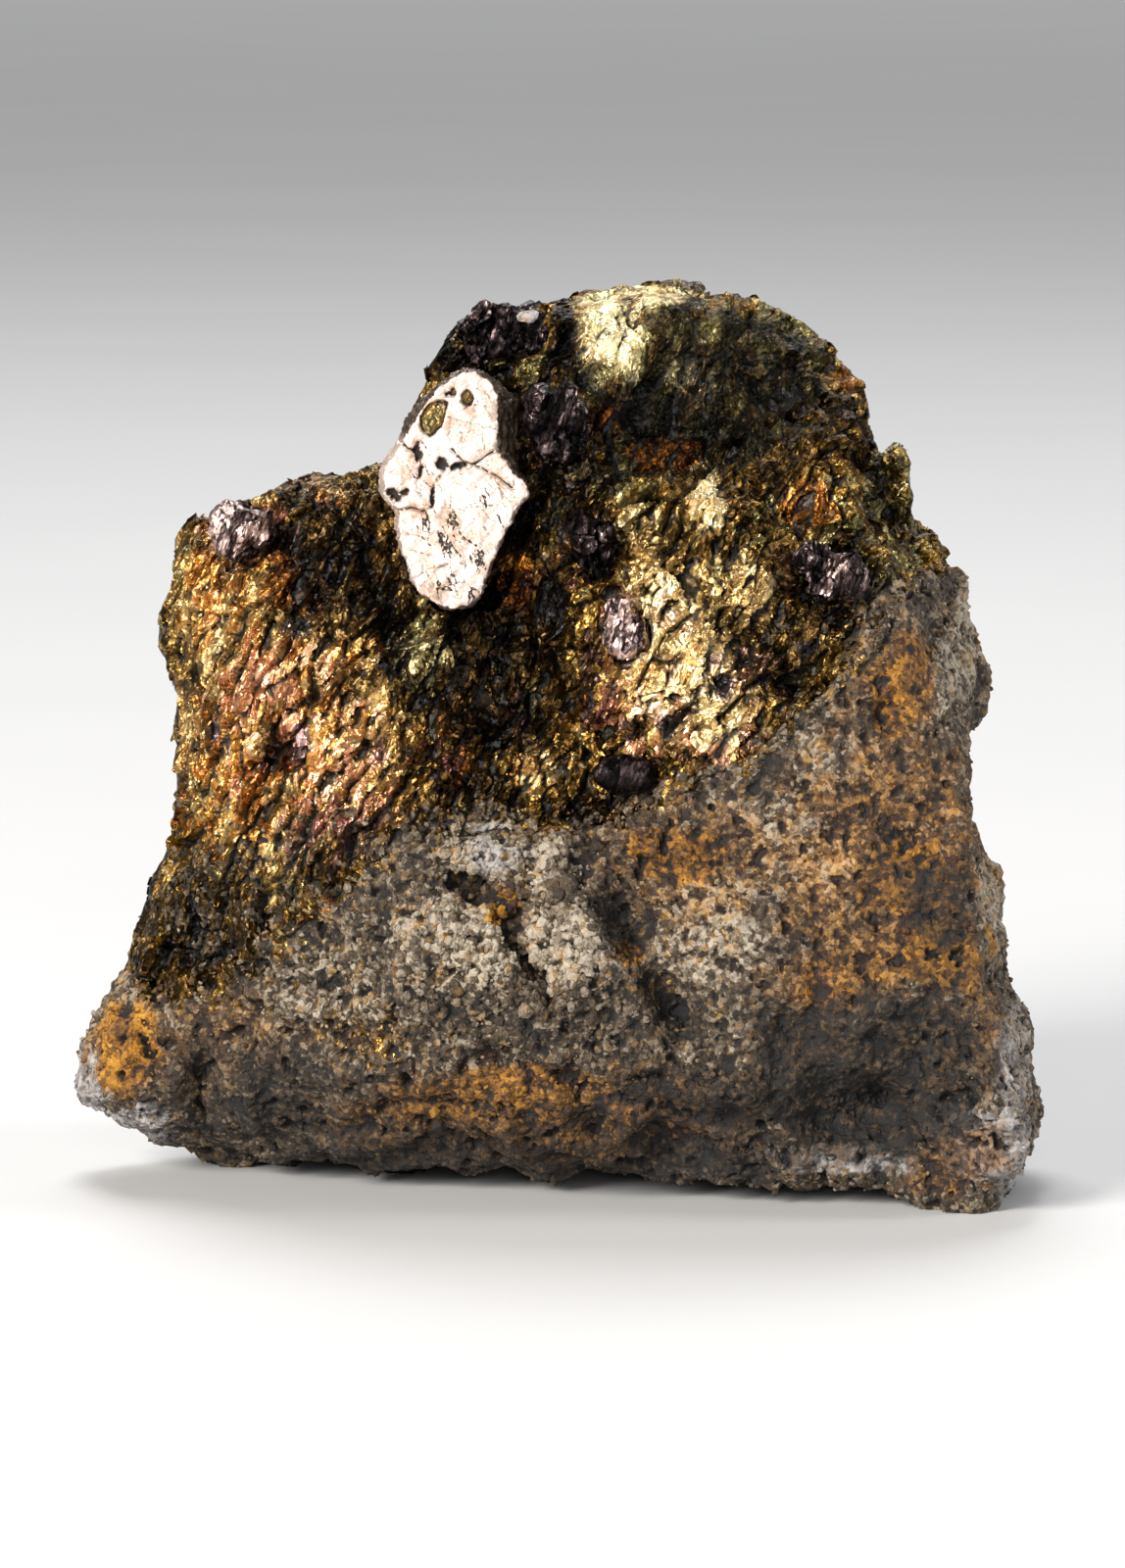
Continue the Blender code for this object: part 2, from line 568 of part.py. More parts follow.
def grain_body(name, middle, half, turn, seed, margin):
    """A small many-faced grain, or with a margin the pocket that it sits in."""
    bm = bmesh.new()
    bmesh.ops.create_icosphere(bm, subdivisions=2, radius=1.0)
    draw = random.Random(seed)
    offset = draw.uniform(0.0, 6.0)
    tilt = Euler((0.0, math.radians(turn), 0.0)).to_matrix()
    for vert in bm.verts:
        wave = math.sin(3.1 * vert.co.x + offset) * math.cos(3.7 * vert.co.z - offset)
        wave += 0.7 * math.sin(5.3 * vert.co.z + 4.1 * vert.co.y + 2.0 * offset)
        reach = 1.0 + GRAIN_ROUGHNESS * wave
        sized = Vector([c * reach * h + c * margin for c, h in zip(vert.co, half)])
        vert.co = (tilt @ sized + Vector(middle)) * MM
    return add_object(name, mesh_from(bm, name))


def shared_shift(pieces):
    """Puts the middle of the specimen's box over the origin and its feet at height zero."""
    corners = np.concatenate([places_of(piece.data) for piece in pieces])
    low = corners.min(axis=0)
    high = corners.max(axis=0)
    shift = Vector(((low[0] + high[0]) / 2, (low[1] + high[1]) / 2, low[2])) * MM
    for piece in pieces:
        piece.data.transform(Matrix.Translation(-shift))


def build():
    clear_scene()
    whole = block()
    for middle, size, turn in EDGE_CRYSTALS:
        tip = edge_crystal(middle, size, turn)
        combine(whole, tip, "UNION")
        drop(tip)

    rock = add_object("gangue_rock", whole.data.copy())
    below = region(False, -CONTACT_GAP / 2)
    combine(rock, below, "INTERSECT")
    drop(below)
    metal = add_object("chalcopyrite_mass", whole.data.copy())
    above = region(True, CONTACT_GAP / 2)
    combine(metal, above, "INTERSECT")
    drop(above)
    drop(whole)

    pocket = crystal_body("pocket", GAP, 4.0)
    combine(metal, pocket, "DIFFERENCE")
    drop(pocket)
    crystal = crystal_body("arsenohauchecornite_crystal", 0.0, 0.0)
    for shape in CRYSTAL_PITS:
        pit = crystal_pit(*shape)
        combine(crystal, pit, "DIFFERENCE")
        drop(pit)
    grains = []
    for name, middle, half, turn, seed in GRAINS:
        pocket = grain_body("pocket", middle, half, turn, seed, GAP)
        combine(metal, pocket, "DIFFERENCE")
        combine(rock, pocket, "DIFFERENCE")
        drop(pocket)
        grains.append(grain_body(name, middle, half, turn, seed, 0.0))

    for piece in (rock, metal, crystal):
        keep_largest(piece)
    looks = {
        "gangue": (GANGUE, [rock]),
        "chalcopyrite": (CHALCOPYRITE, [metal]),
        "bright_arsenohauchecornite": (BRIGHT_CRYSTAL, [crystal]),
        "dark_arsenohauchecornite": (DARK_GRAIN, grains),
    }
    for name, (look, pieces) in looks.items():
        material = mineral(name, look)
        for piece in pieces:
            piece.data.materials.clear()
            piece.data.materials.append(material)
    shared_shift([rock, metal, crystal, *grains])


build()
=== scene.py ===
import math

import bmesh
import bpy
import numpy as np
from mathutils import Euler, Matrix, Vector, kdtree, noise
from mathutils.bvhtree import BVHTree


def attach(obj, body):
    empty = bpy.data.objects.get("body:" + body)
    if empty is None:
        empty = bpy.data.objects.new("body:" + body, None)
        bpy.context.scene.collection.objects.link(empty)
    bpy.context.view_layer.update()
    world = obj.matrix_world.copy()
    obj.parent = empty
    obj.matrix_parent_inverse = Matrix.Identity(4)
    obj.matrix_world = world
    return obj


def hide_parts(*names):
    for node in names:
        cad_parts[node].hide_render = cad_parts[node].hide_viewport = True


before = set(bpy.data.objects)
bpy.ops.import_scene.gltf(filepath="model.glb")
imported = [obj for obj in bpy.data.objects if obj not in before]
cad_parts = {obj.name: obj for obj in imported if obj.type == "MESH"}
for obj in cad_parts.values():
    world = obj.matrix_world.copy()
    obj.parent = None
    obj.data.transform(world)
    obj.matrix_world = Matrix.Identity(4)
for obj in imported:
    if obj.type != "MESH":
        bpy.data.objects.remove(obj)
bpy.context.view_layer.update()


# The gangue: a broken, sugary grey rock of quartz and carbonate grains that carries the ore.
# It is stained by rust, split by a fissure and knobbly in the middle of its front, with a flat
# broken face on the right that ends in a sharp edge.
MM = 0.001

# The front is looked at through a long lens a little above the table. Patches of stain and the
# small features of the front are given where they show in its picture, across and down.
POINT = 0.0405 * MM
PICTURE = (1148, 1600)
LENS_ANGLE = math.radians(7.0)
LENS_DISTANCE = 0.36
AIM = Vector((0.000215, -0.001993, 0.016557))
FORWARD = Vector((0.0, math.cos(LENS_ANGLE), -math.sin(LENS_ANGLE)))
UPWARD = Vector((0.0, math.sin(LENS_ANGLE), math.cos(LENS_ANGLE)))
LENS_PLACE = AIM - FORWARD * LENS_DISTANCE

COARSE_STEP = 0.23 * MM
FRONT_LEVEL = -0.05
CONTACT_REACH = 0.62 * MM
GANGUE_CLOSING = 0.30 * MM
GANGUE_TRIANGLES = 185000
MINGLING = 1.6 * MM

# The relief of both minerals: the ore's flakes, how far they lean, and the gangue's knobs.
HUGE_FLAKE = 2.2 * MM
BIG_FLAKE = 1.15 * MM
LEANING_FLAKE = 1.05 * MM
MIDDLE_FLAKE = 0.54 * MM
SMALL_FLAKE = 0.22 * MM
FLAKE_LEAN = 24.0
RIGHT_LEAN = 22.0
BIG_KNOB = 1.15 * MM
MIDDLE_KNOB = 0.52 * MM
SMALL_KNOB = 0.28 * MM
FISSURE_DEPTH = 0.9
LEDGE_DEPTH = 0.7


def tone(red, green, blue):
    """A colour as the eye reads it, in 255 steps, made linear."""
    return tuple((part / 255.0) ** 2.2 for part in (red, green, blue))


# The colours of the ore from its crevices to its brightest flakes, plain and tarnished.
BRASS = (
    (0.25, tone(16, 11, 6)), (0.42, tone(58, 42, 20)), (0.58, tone(124, 94, 46)),
    (0.75, tone(200, 160, 90)), (0.95, tone(246, 228, 172)),
)
OLIVE = (
    (0.25, tone(12, 11, 6)), (0.45, tone(44, 40, 24)), (0.62, tone(98, 90, 56)),
    (0.80, tone(172, 162, 106)), (0.95, tone(240, 236, 196)),
)
ORANGE = (
    (0.25, tone(28, 13, 4)), (0.50, tone(118, 68, 22)), (0.75, tone(212, 142, 62)),
    (0.95, tone(250, 210, 138)),
)
PINK = (
    (0.25, tone(28, 14, 12)), (0.50, tone(126, 78, 64)), (0.75, tone(214, 150, 118)),
    (0.95, tone(248, 210, 180)),
)
VIOLET = (
    (0.25, tone(14, 8, 12)), (0.50, tone(66, 36, 50)), (0.75, tone(126, 74, 92)),
    (0.95, tone(206, 160, 160)),
)


# Patches: middle across and down, half width, half height, turn in degrees and strength.
GANGUE_RUST = (
    (900, 880, 120, 150, -10, 0.52), (700, 880, 110, 70, -10, 0.42), (560, 1140, 250, 56, 0, 0.62),
    (920, 1080, 80, 80, 0, 0.42), (900, 720, 60, 90, -12, 0.42), (200, 1060, 110, 60, 0, 0.4),
    (918, 700, 34, 62, -12, 0.75), (900, 770, 52, 40, 20, 0.45), (930, 900, 62, 44, 0, 0.95),
    (960, 960, 46, 56, 10, 1.0), (900, 975, 50, 40, 0, 0.6), (690, 870, 60, 30, -10, 0.75),
    (760, 850, 46, 26, -30, 0.45), (850, 1010, 52, 34, 10, 0.65), (800, 1000, 40, 24, 0, 0.45),
    (1000, 1050, 26, 56, 0, 0.5), (830, 1060, 50, 30, 0, 0.5), (470, 1125, 90, 30, 0, 0.8),
    (620, 1150, 120, 30, 0, 0.8), (540, 1105, 90, 22, 0, 0.7), (730, 1140, 60, 34, 0, 0.45),
    (130, 1070, 40, 52, 10, 0.85), (143, 978, 18, 16, 0, 0.9), (165, 1010, 30, 26, 0, 0.5),
    (515, 925, 20, 22, 0, 0.9), (639, 973, 16, 14, 0, 0.8), (980, 1180, 56, 34, 20, 0.6),
    (345, 1060, 60, 22, 0, 0.35), (700, 930, 36, 26, 0, 0.35), (210, 1090, 34, 30, 0, 0.35),
)
# Painted shade where the gangue's front lies in shadow: along its undercut foot and in pits.
GANGUE_SHADE = (
    (760, 1060, 60, 60, 0, 0.45), (640, 1170, 380, 40, 0, 0.62), (980, 1010, 60, 90, 0, 0.35),
    (300, 1130, 200, 50, 0, 0.35), (890, 1100, 120, 80, 0, 1.4), (740, 1125, 140, 40, 0, 0.85),
    (560, 1185, 330, 22, 0, 0.85), (260, 1120, 110, 60, 0, 0.55), (960, 925, 40, 46, 0, 0.75),
    (905, 900, 30, 26, 0, 0.45), (280, 1140, 56, 26, 0, 0.9), (205, 1100, 26, 50, 5, 0.6),
    (400, 1165, 90, 20, 0, 0.8), (560, 1178, 150, 16, 0, 0.8), (625, 937, 16, 26, 0, 0.9),
    (606, 1134, 22, 9, 0, 0.9), (907, 851, 13, 7, 0, 0.8), (960, 960, 8, 8, 0, 0.8),
    (575, 905, 14, 60, -12, 0.5), (700, 1040, 40, 24, 0, 0.5), (650, 1060, 30, 30, 0, 0.4),
    (880, 740, 20, 12, 0, 0.5),
)
GANGUE_PALE = (
    (500, 870, 40, 34, 0, 0.5), (470, 960, 70, 50, 0, 0.75), (570, 960, 40, 44, 0, 0.9),
    (570, 880, 30, 30, 0, 0.8), (730, 960, 60, 60, 0, 0.55), (820, 870, 60, 40, -30, 0.55),
    (850, 770, 40, 40, 0, 0.4), (860, 1185, 70, 14, -4, 0.9), (730, 1080, 44, 34, 0, 0.5),
    (1000, 1100, 30, 26, 0, 0.4), (980, 660, 22, 60, -14, 0.8), (1010, 920, 16, 60, 0, 0.8),
    (330, 1020, 60, 40, 0, 0.4), (150, 1030, 30, 22, 0, 0.4), (100, 1080, 22, 50, 10, 0.35),
    (1035, 1070, 16, 50, 0, 0.6),
)
GANGUE_QUARTZ = (
    (120, 1160, 60, 26, 24, 1.0), (92, 1110, 16, 46, 8, 0.9), (1010, 1170, 60, 46, -20, 0.7),
    (860, 1184, 80, 15, -4, 0.9), (1030, 1080, 22, 60, 0, 0.6), (500, 868, 34, 26, 0, 0.5),
)
FLAT_FACE = ((850, 900, 150, 260, -14, 1.0), (800, 1000, 150, 140, 0, 0.8))
KNOBBLY = ((520, 960, 110, 130, 0, 1.0), (380, 1010, 80, 70, 0, 0.5), (740, 1080, 60, 50, 0, 0.5))


# Paler ore: partly pale brass, partly painted highlight, as on the lit top rim of the upper block.
ORE_PALE_AND_HIGHLIGHT = (
    (290, 740, 110, 120, 0, 0.42), (230, 620, 44, 60, 0, 0.5), (620, 340, 34, 44, 8, 1.0),
    (672, 300, 40, 10, 0, 0.9), (720, 512, 18, 36, 4, 0.9), (700, 690, 66, 80, 42, 0.75),
    (676, 612, 42, 40, 30, 0.85), (722, 735, 34, 34, 40, 0.7), (650, 540, 22, 26, 0, 0.4),
    (268, 700, 34, 36, 0, 0.55), (700, 385, 30, 16, -20, 0.5), (760, 600, 30, 40, 40, 0.4),
    (280, 850, 30, 24, 0, 0.45), (545, 780, 20, 26, 0, 0.5), (430, 665, 26, 34, 10, 0.35),
    (220, 680, 20, 30, 0, 0.35), (335, 500, 24, 12, 0, 0.4),
)
ORE_OLIVE = (
    (625, 345, 44, 60, 8, 1.0), (515, 375, 54, 34, 0, 0.9), (680, 298, 60, 12, 0, 0.8),
    (690, 390, 110, 84, 0, 1.0), (800, 370, 80, 60, 30, 0.9), (432, 660, 34, 44, 8, 0.9),
    (910, 500, 30, 46, 0, 0.9), (840, 540, 70, 50, 0, 0.6), (560, 500, 40, 40, 0, 0.6),
    (640, 490, 40, 30, 0, 0.6), (440, 590, 30, 30, 0, 0.5), (900, 570, 40, 30, 0, 0.5),
)
ORE_ORANGE = (
    (250, 790, 60, 70, 0, 0.72), (210, 830, 30, 50, 0, 0.6), (230, 600, 36, 44, 0, 0.62),
    (280, 730, 100, 110, 0, 0.56), (620, 730, 60, 40, 0, 0.35), (210, 585, 22, 26, 10, 0.9),
    (285, 590, 22, 40, 30, 0.8), (266, 852, 18, 16, 0, 0.9), (525, 594, 20, 32, 10, 0.8),
    (677, 684, 24, 26, 0, 0.5), (540, 780, 20, 34, 0, 0.5), (680, 462, 44, 20, 0, 0.7),
    (620, 430, 26, 16, 0, 0.6), (822, 515, 32, 32, 0, 0.9), (336, 922, 12, 12, 0, 0.9),
    (865, 385, 22, 14, 0, 0.6), (240, 735, 40, 30, 0, 0.4), (360, 700, 40, 50, 0, 0.35),
    (200, 640, 26, 40, 0, 0.35), (330, 505, 24, 12, 0, 0.5), (450, 770, 40, 40, 0, 0.35),
)
ORE_PINK = (
    (300, 740, 80, 90, 0, 0.40), (660, 720, 60, 60, 40, 0.42), (268, 706, 46, 42, 0, 0.8),
    (255, 545, 46, 34, 10, 0.9), (634, 640, 22, 40, 0, 0.8), (350, 790, 50, 50, 0, 0.5),
    (720, 770, 34, 16, 0, 0.5), (316, 834, 20, 20, 0, 0.8), (400, 830, 50, 30, 0, 0.4),
    (690, 620, 24, 30, 0, 0.4),
)
ORE_VIOLET = (
    (505, 730, 28, 50, 0, 0.5), (608, 700, 18, 50, 0, 0.6), (330, 850, 50, 34, 0, 0.6),
    (770, 700, 34, 44, 40, 0.5), (595, 560, 34, 40, 0, 0.5), (560, 440, 40, 34, 0, 0.6),
    (800, 580, 44, 26, 0, 0.4), (420, 770, 44, 30, 0, 0.4), (780, 745, 40, 26, 30, 0.5),
)
ORE_BLUE = (
    (309, 756, 12, 20, 0, 1.0), (221, 745, 8, 14, 0, 0.9), (306, 640, 16, 12, 0, 0.9),
    (740, 702, 12, 18, 0, 0.9), (678, 738, 10, 14, 0, 0.9), (640, 745, 12, 14, 0, 0.6),
    (830, 660, 20, 12, 0, 0.5), (360, 870, 30, 14, 0, 0.4), (470, 845, 40, 12, 0, 0.4),
)
# Darker ore: partly dull ore, partly painted shade under the ledge, round the crystal and where the
# mass turns from the light.
ORE_DARK_AND_SHADE = (
    (360, 570, 70, 60, 0, 0.75), (650, 440, 90, 40, 10, 0.45), (480, 362, 44, 30, -20, 0.9),
    (205, 965, 80, 70, 0, 0.45), (520, 660, 70, 90, 0, 0.5), (740, 420, 120, 70, 0, 0.35),
    (500, 640, 60, 60, 0, 0.6), (562, 608, 20, 34, 0, 0.9), (282, 770, 18, 26, 0, 0.9),
    (510, 700, 90, 60, 0, 0.5), (330, 600, 50, 60, 0, 0.5), (400, 640, 20, 60, 0, 0.5),
    (590, 490, 40, 30, 0, 0.6), (330, 500, 70, 16, 0, 0.5), (840, 440, 60, 40, 0, 0.4),
    (780, 650, 50, 60, 30, 0.4), (620, 830, 60, 20, 0, 0.5), (575, 335, 12, 26, 0, 0.8),
    (860, 600, 50, 40, 0, 0.5), (290, 555, 16, 14, 0, 0.9), (480, 800, 60, 40, 0, 0.4),
    (720, 440, 70, 30, 0, 0.4), (575, 380, 20, 50, 0, 0.5), (540, 530, 30, 30, 0, 0.6),
)
ORE_GRITTY = (
    (250, 900, 100, 90, 0, 0.9), (230, 980, 80, 60, 0, 0.9), (430, 850, 120, 40, 0, 0.8),
    (640, 800, 90, 40, 0, 0.6), (822, 515, 36, 36, 0, 0.7), (880, 620, 50, 40, 0, 0.7),
)
SHELL_FACE = ((700, 390, 120, 90, 0, 1.0), (620, 345, 40, 60, 0, 0.45), (562, 608, 22, 34, 0, 0.8))
RIGHT_LEANING = ((740, 690, 150, 150, 0, 1.0), (640, 600, 60, 60, 0, 1.0))
ORE_SPECKS = (
    (250, 900, 110, 100, 0, 0.5), (230, 990, 90, 60, 0, 0.7), (370, 1060, 60, 26, -20, 0.9),
)
LEDGE = ((600, 520), (638, 512), (690, 507), (721, 478), (763, 447), (800, 425))
FISSURE = (
    (468, 898), (486, 906), (496, 913), (523, 936), (518, 958), (530, 974), (543, 994), (556, 1006),
    (563, 1027),
)
FISSURE_NARROWS = 905.0


def seen_at(points):
    """Where points show in the lens's picture: across and down."""
    away = points - np.array(LENS_PLACE)
    depth = away @ np.array(FORWARD)
    across = PICTURE[0] / 2 + away[:, 0] / depth * LENS_DISTANCE / POINT
    down = PICTURE[1] / 2 - (away @ np.array(UPWARD)) / depth * LENS_DISTANCE / POINT
    return across, down


def add_object(name, mesh):
    piece = bpy.data.objects.new(name, mesh)
    bpy.context.scene.collection.objects.link(piece)
    return piece


def add_made(name, bm):
    mesh = bpy.data.meshes.new(name)
    bm.to_mesh(mesh)
    bm.free()
    return add_object(name, mesh)


def settle(piece):
    """Replaces an object's mesh by the result of its modifiers."""
    graph = bpy.context.evaluated_depsgraph_get()
    mesh = bpy.data.meshes.new_from_object(piece.evaluated_get(graph))
    piece.modifiers.clear()
    piece.data = mesh


def points_of(mesh):
    flat = np.empty(len(mesh.vertices) * 3, dtype=np.float32)
    mesh.vertices.foreach_get("co", flat)
    return flat.reshape(-1, 3).astype(np.float64)


def normals_of(mesh):
    flat = np.empty(len(mesh.vertices) * 3, dtype=np.float32)
    mesh.vertex_normals.foreach_get("vector", flat)
    return flat.reshape(-1, 3).astype(np.float64)


def move_points(mesh, points):
    mesh.vertices.foreach_set("co", points.astype(np.float32).ravel())
    mesh.update()


def relaxed(mesh, rounds):
    """The mesh's points after each has moved towards its neighbours for some rounds."""
    edges = np.empty(len(mesh.edges) * 2, dtype=np.int32)
    mesh.edges.foreach_get("vertices", edges)
    first, second = edges.reshape(-1, 2).T
    count = len(mesh.vertices)
    links = np.bincount(first, minlength=count) + np.bincount(second, minlength=count)
    points = points_of(mesh)
    for _ in range(rounds):
        middle = np.empty_like(points)
        for axis in range(3):
            line = points[:, axis]
            middle[:, axis] = np.bincount(first, line[second], count)
            middle[:, axis] += np.bincount(second, line[first], count)
        points += 0.5 * (middle / links[:, None] - points)
    return points


def recast(piece, step, rounds):
    """Makes an object one even closed mesh with a given step and smooths it for some rounds."""
    cast = piece.modifiers.new("cast", "REMESH")
    cast.mode = "VOXEL"
    cast.voxel_size = step
    settle(piece)
    move_points(piece.data, relaxed(piece.data, rounds))


def finer_copy(node, name, step):
    """A finer closed copy of a solid, with more detail on the side that is looked at."""
    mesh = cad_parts[node].data.copy()
    bm = bmesh.new()
    bm.from_mesh(mesh)
    bmesh.ops.remove_doubles(bm, verts=bm.verts[:], dist=1e-6)
    bm.to_mesh(mesh)
    bm.free()
    piece = add_object(name, mesh)
    recast(piece, step, 5)
    bm = bmesh.new()
    bm.from_mesh(piece.data)
    near = [edge for edge in bm.edges if all(f.normal.y < FRONT_LEVEL for f in edge.link_faces)]
    bmesh.ops.subdivide_edges(bm, edges=near, cuts=1, use_grid_fill=True)
    bmesh.ops.triangulate(bm, faces=bm.faces[:])
    bm.to_mesh(piece.data)
    bm.free()
    move_points(piece.data, relaxed(piece.data, 2))
    return piece


def faces_of(*nodes):
    """A search tree over the faces of some of the frame's solids."""
    corners = []
    faces = []
    for node in nodes:
        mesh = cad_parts[node].data
        start = len(corners)
        corners += [vert.co.copy() for vert in mesh.vertices]
        faces += [[start + index for index in face.vertices] for face in mesh.polygons]
    return BVHTree.FromPolygons(corners, faces)


def distance_to(tree, points, reach):
    away = np.full(len(points), reach)
    for index, point in enumerate(points):
        found = tree.find_nearest(point, reach)
        if found[0] is not None:
            away[index] = found[3]
    return away


def ripple(points, size, seed, detail=2):
    """Soft natural noise over the points, from about -1 to 1."""
    shift = Vector((seed * 7.31, seed * 3.17, seed * 5.71))
    rows = (points / size).tolist()
    return np.array([noise.fractal(Vector(row) + shift, 1.0, 2.0, detail) for row in rows])


def ripples(points, size, seeds, detail=2):
    """A different ripple along each axis."""
    return np.stack([ripple(points, size, seed, detail) for seed in seeds], axis=1)


def cells(points, spacing, seed, stretch=(1, 1, 1), turn=(0, 0, 0)):
    """Parts a surface into uneven cells, long ones if stretched. For each point it gives its
    cell, the way to it from the cell's middle, how near the seam is, and the cell's chances."""
    turning = np.array(Euler([math.radians(angle) for angle in turn]).to_matrix())
    local = points @ turning / np.array(stretch)
    draw = np.random.default_rng(seed)
    order = draw.permutation(len(points))
    boxes = np.floor(local[order] / spacing).astype(np.int64)
    keys = (boxes[:, 0] * 100003 + boxes[:, 1]) * 100003 + boxes[:, 2]
    _, chosen = np.unique(keys, return_index=True)
    middles = local[order[chosen]]
    tree = kdtree.KDTree(len(middles))
    for index, middle in enumerate(middles):
        tree.insert(middle, index)
    tree.balance()
    found = [tree.find_n(row, 2) for row in local]
    cell = np.array([pair[0][1] for pair in found])
    seam = np.array([pair[1][2] - pair[0][2] for pair in found]) / spacing
    way = (local - middles[cell]) / spacing
    return cell, way, seam, draw.random((len(middles), 5)) * 2.0 - 1.0


def knobs(points, spacing, seed):
    """Rounded knobs, one in each cell: from about -1 in the seams to 0.6 on top."""
    cell, way, _, chance = cells(points, spacing, seed)
    height = 0.6 - 2.2 * (way**2).sum(axis=1)
    return np.clip(height, -1.0, 1.0) * (0.7 + 0.3 * chance[cell, 0]) + 0.2 * chance[cell, 1]


def patches(across, down, rows, waver):
    """How strongly soft-edged patches cover each place in the picture."""
    total = np.zeros(len(across))
    for middle_x, middle_y, half_x, half_y, turn, strength in rows:
        angle = math.radians(turn)
        dx = across - middle_x
        dy = down - middle_y
        first = (dx * math.cos(angle) - dy * math.sin(angle)) / half_x
        second = (dy * math.cos(angle) + dx * math.sin(angle)) / half_y
        reach = np.sqrt(first**2 + second**2) + waver
        cover = np.clip((1.35 - reach) / 0.7, 0.0, 1.0)
        total = np.maximum(total, strength * cover * cover * (3.0 - 2.0 * cover))
    return total


def near_line(across, down, line):
    """Distance of each place in the picture from a broken line of points."""
    best = np.full(len(across), 1e9)
    for start, end in zip(line, line[1:]):
        step = (end[0] - start[0], end[1] - start[1])
        length = step[0] ** 2 + step[1] ** 2
        share = ((across - start[0]) * step[0] + (down - start[1]) * step[1]) / length
        share = np.clip(share, 0.0, 1.0)
        away = np.hypot(across - start[0] - share * step[0], down - start[1] - share * step[1])
        best = np.minimum(best, away)
    return best


def near_lines(across, down, lines):
    return np.minimum.reduce([near_line(across, down, line) for line in lines])


def mark(mesh, **values):
    """Keeps values for each point of a mesh, for its material to read."""
    for name, row in values.items():
        layer = mesh.attributes.new(name, "FLOAT", "POINT")
        layer.data.foreach_set("value", np.asarray(row, dtype=np.float32))


def thin_out(piece, triangles):
    """Takes points out of a mesh where it is flat, down to a number of triangles."""
    thin = piece.modifiers.new("thin", "DECIMATE")
    thin.ratio = min(1.0, triangles / len(piece.data.polygons))
    thin.use_collapse_triangulate = True
    settle(piece)


class Value:
    """A number that varies over a surface, open to plain arithmetic."""

    def __init__(self, finish, socket):
        self.finish = finish
        self.socket = socket

    def joined(self, operation, first, second):
        return self.finish.node("Math", {"operation": operation}, {0: first, 1: second})

    def __add__(self, other):
        return self.joined("ADD", self, other)

    def __sub__(self, other):
        return self.joined("SUBTRACT", self, other)

    def __mul__(self, other):
        return self.joined("MULTIPLY", self, other)

    def __rsub__(self, other):
        return self.joined("SUBTRACT", other, self)

    __radd__ = __add__
    __rmul__ = __mul__


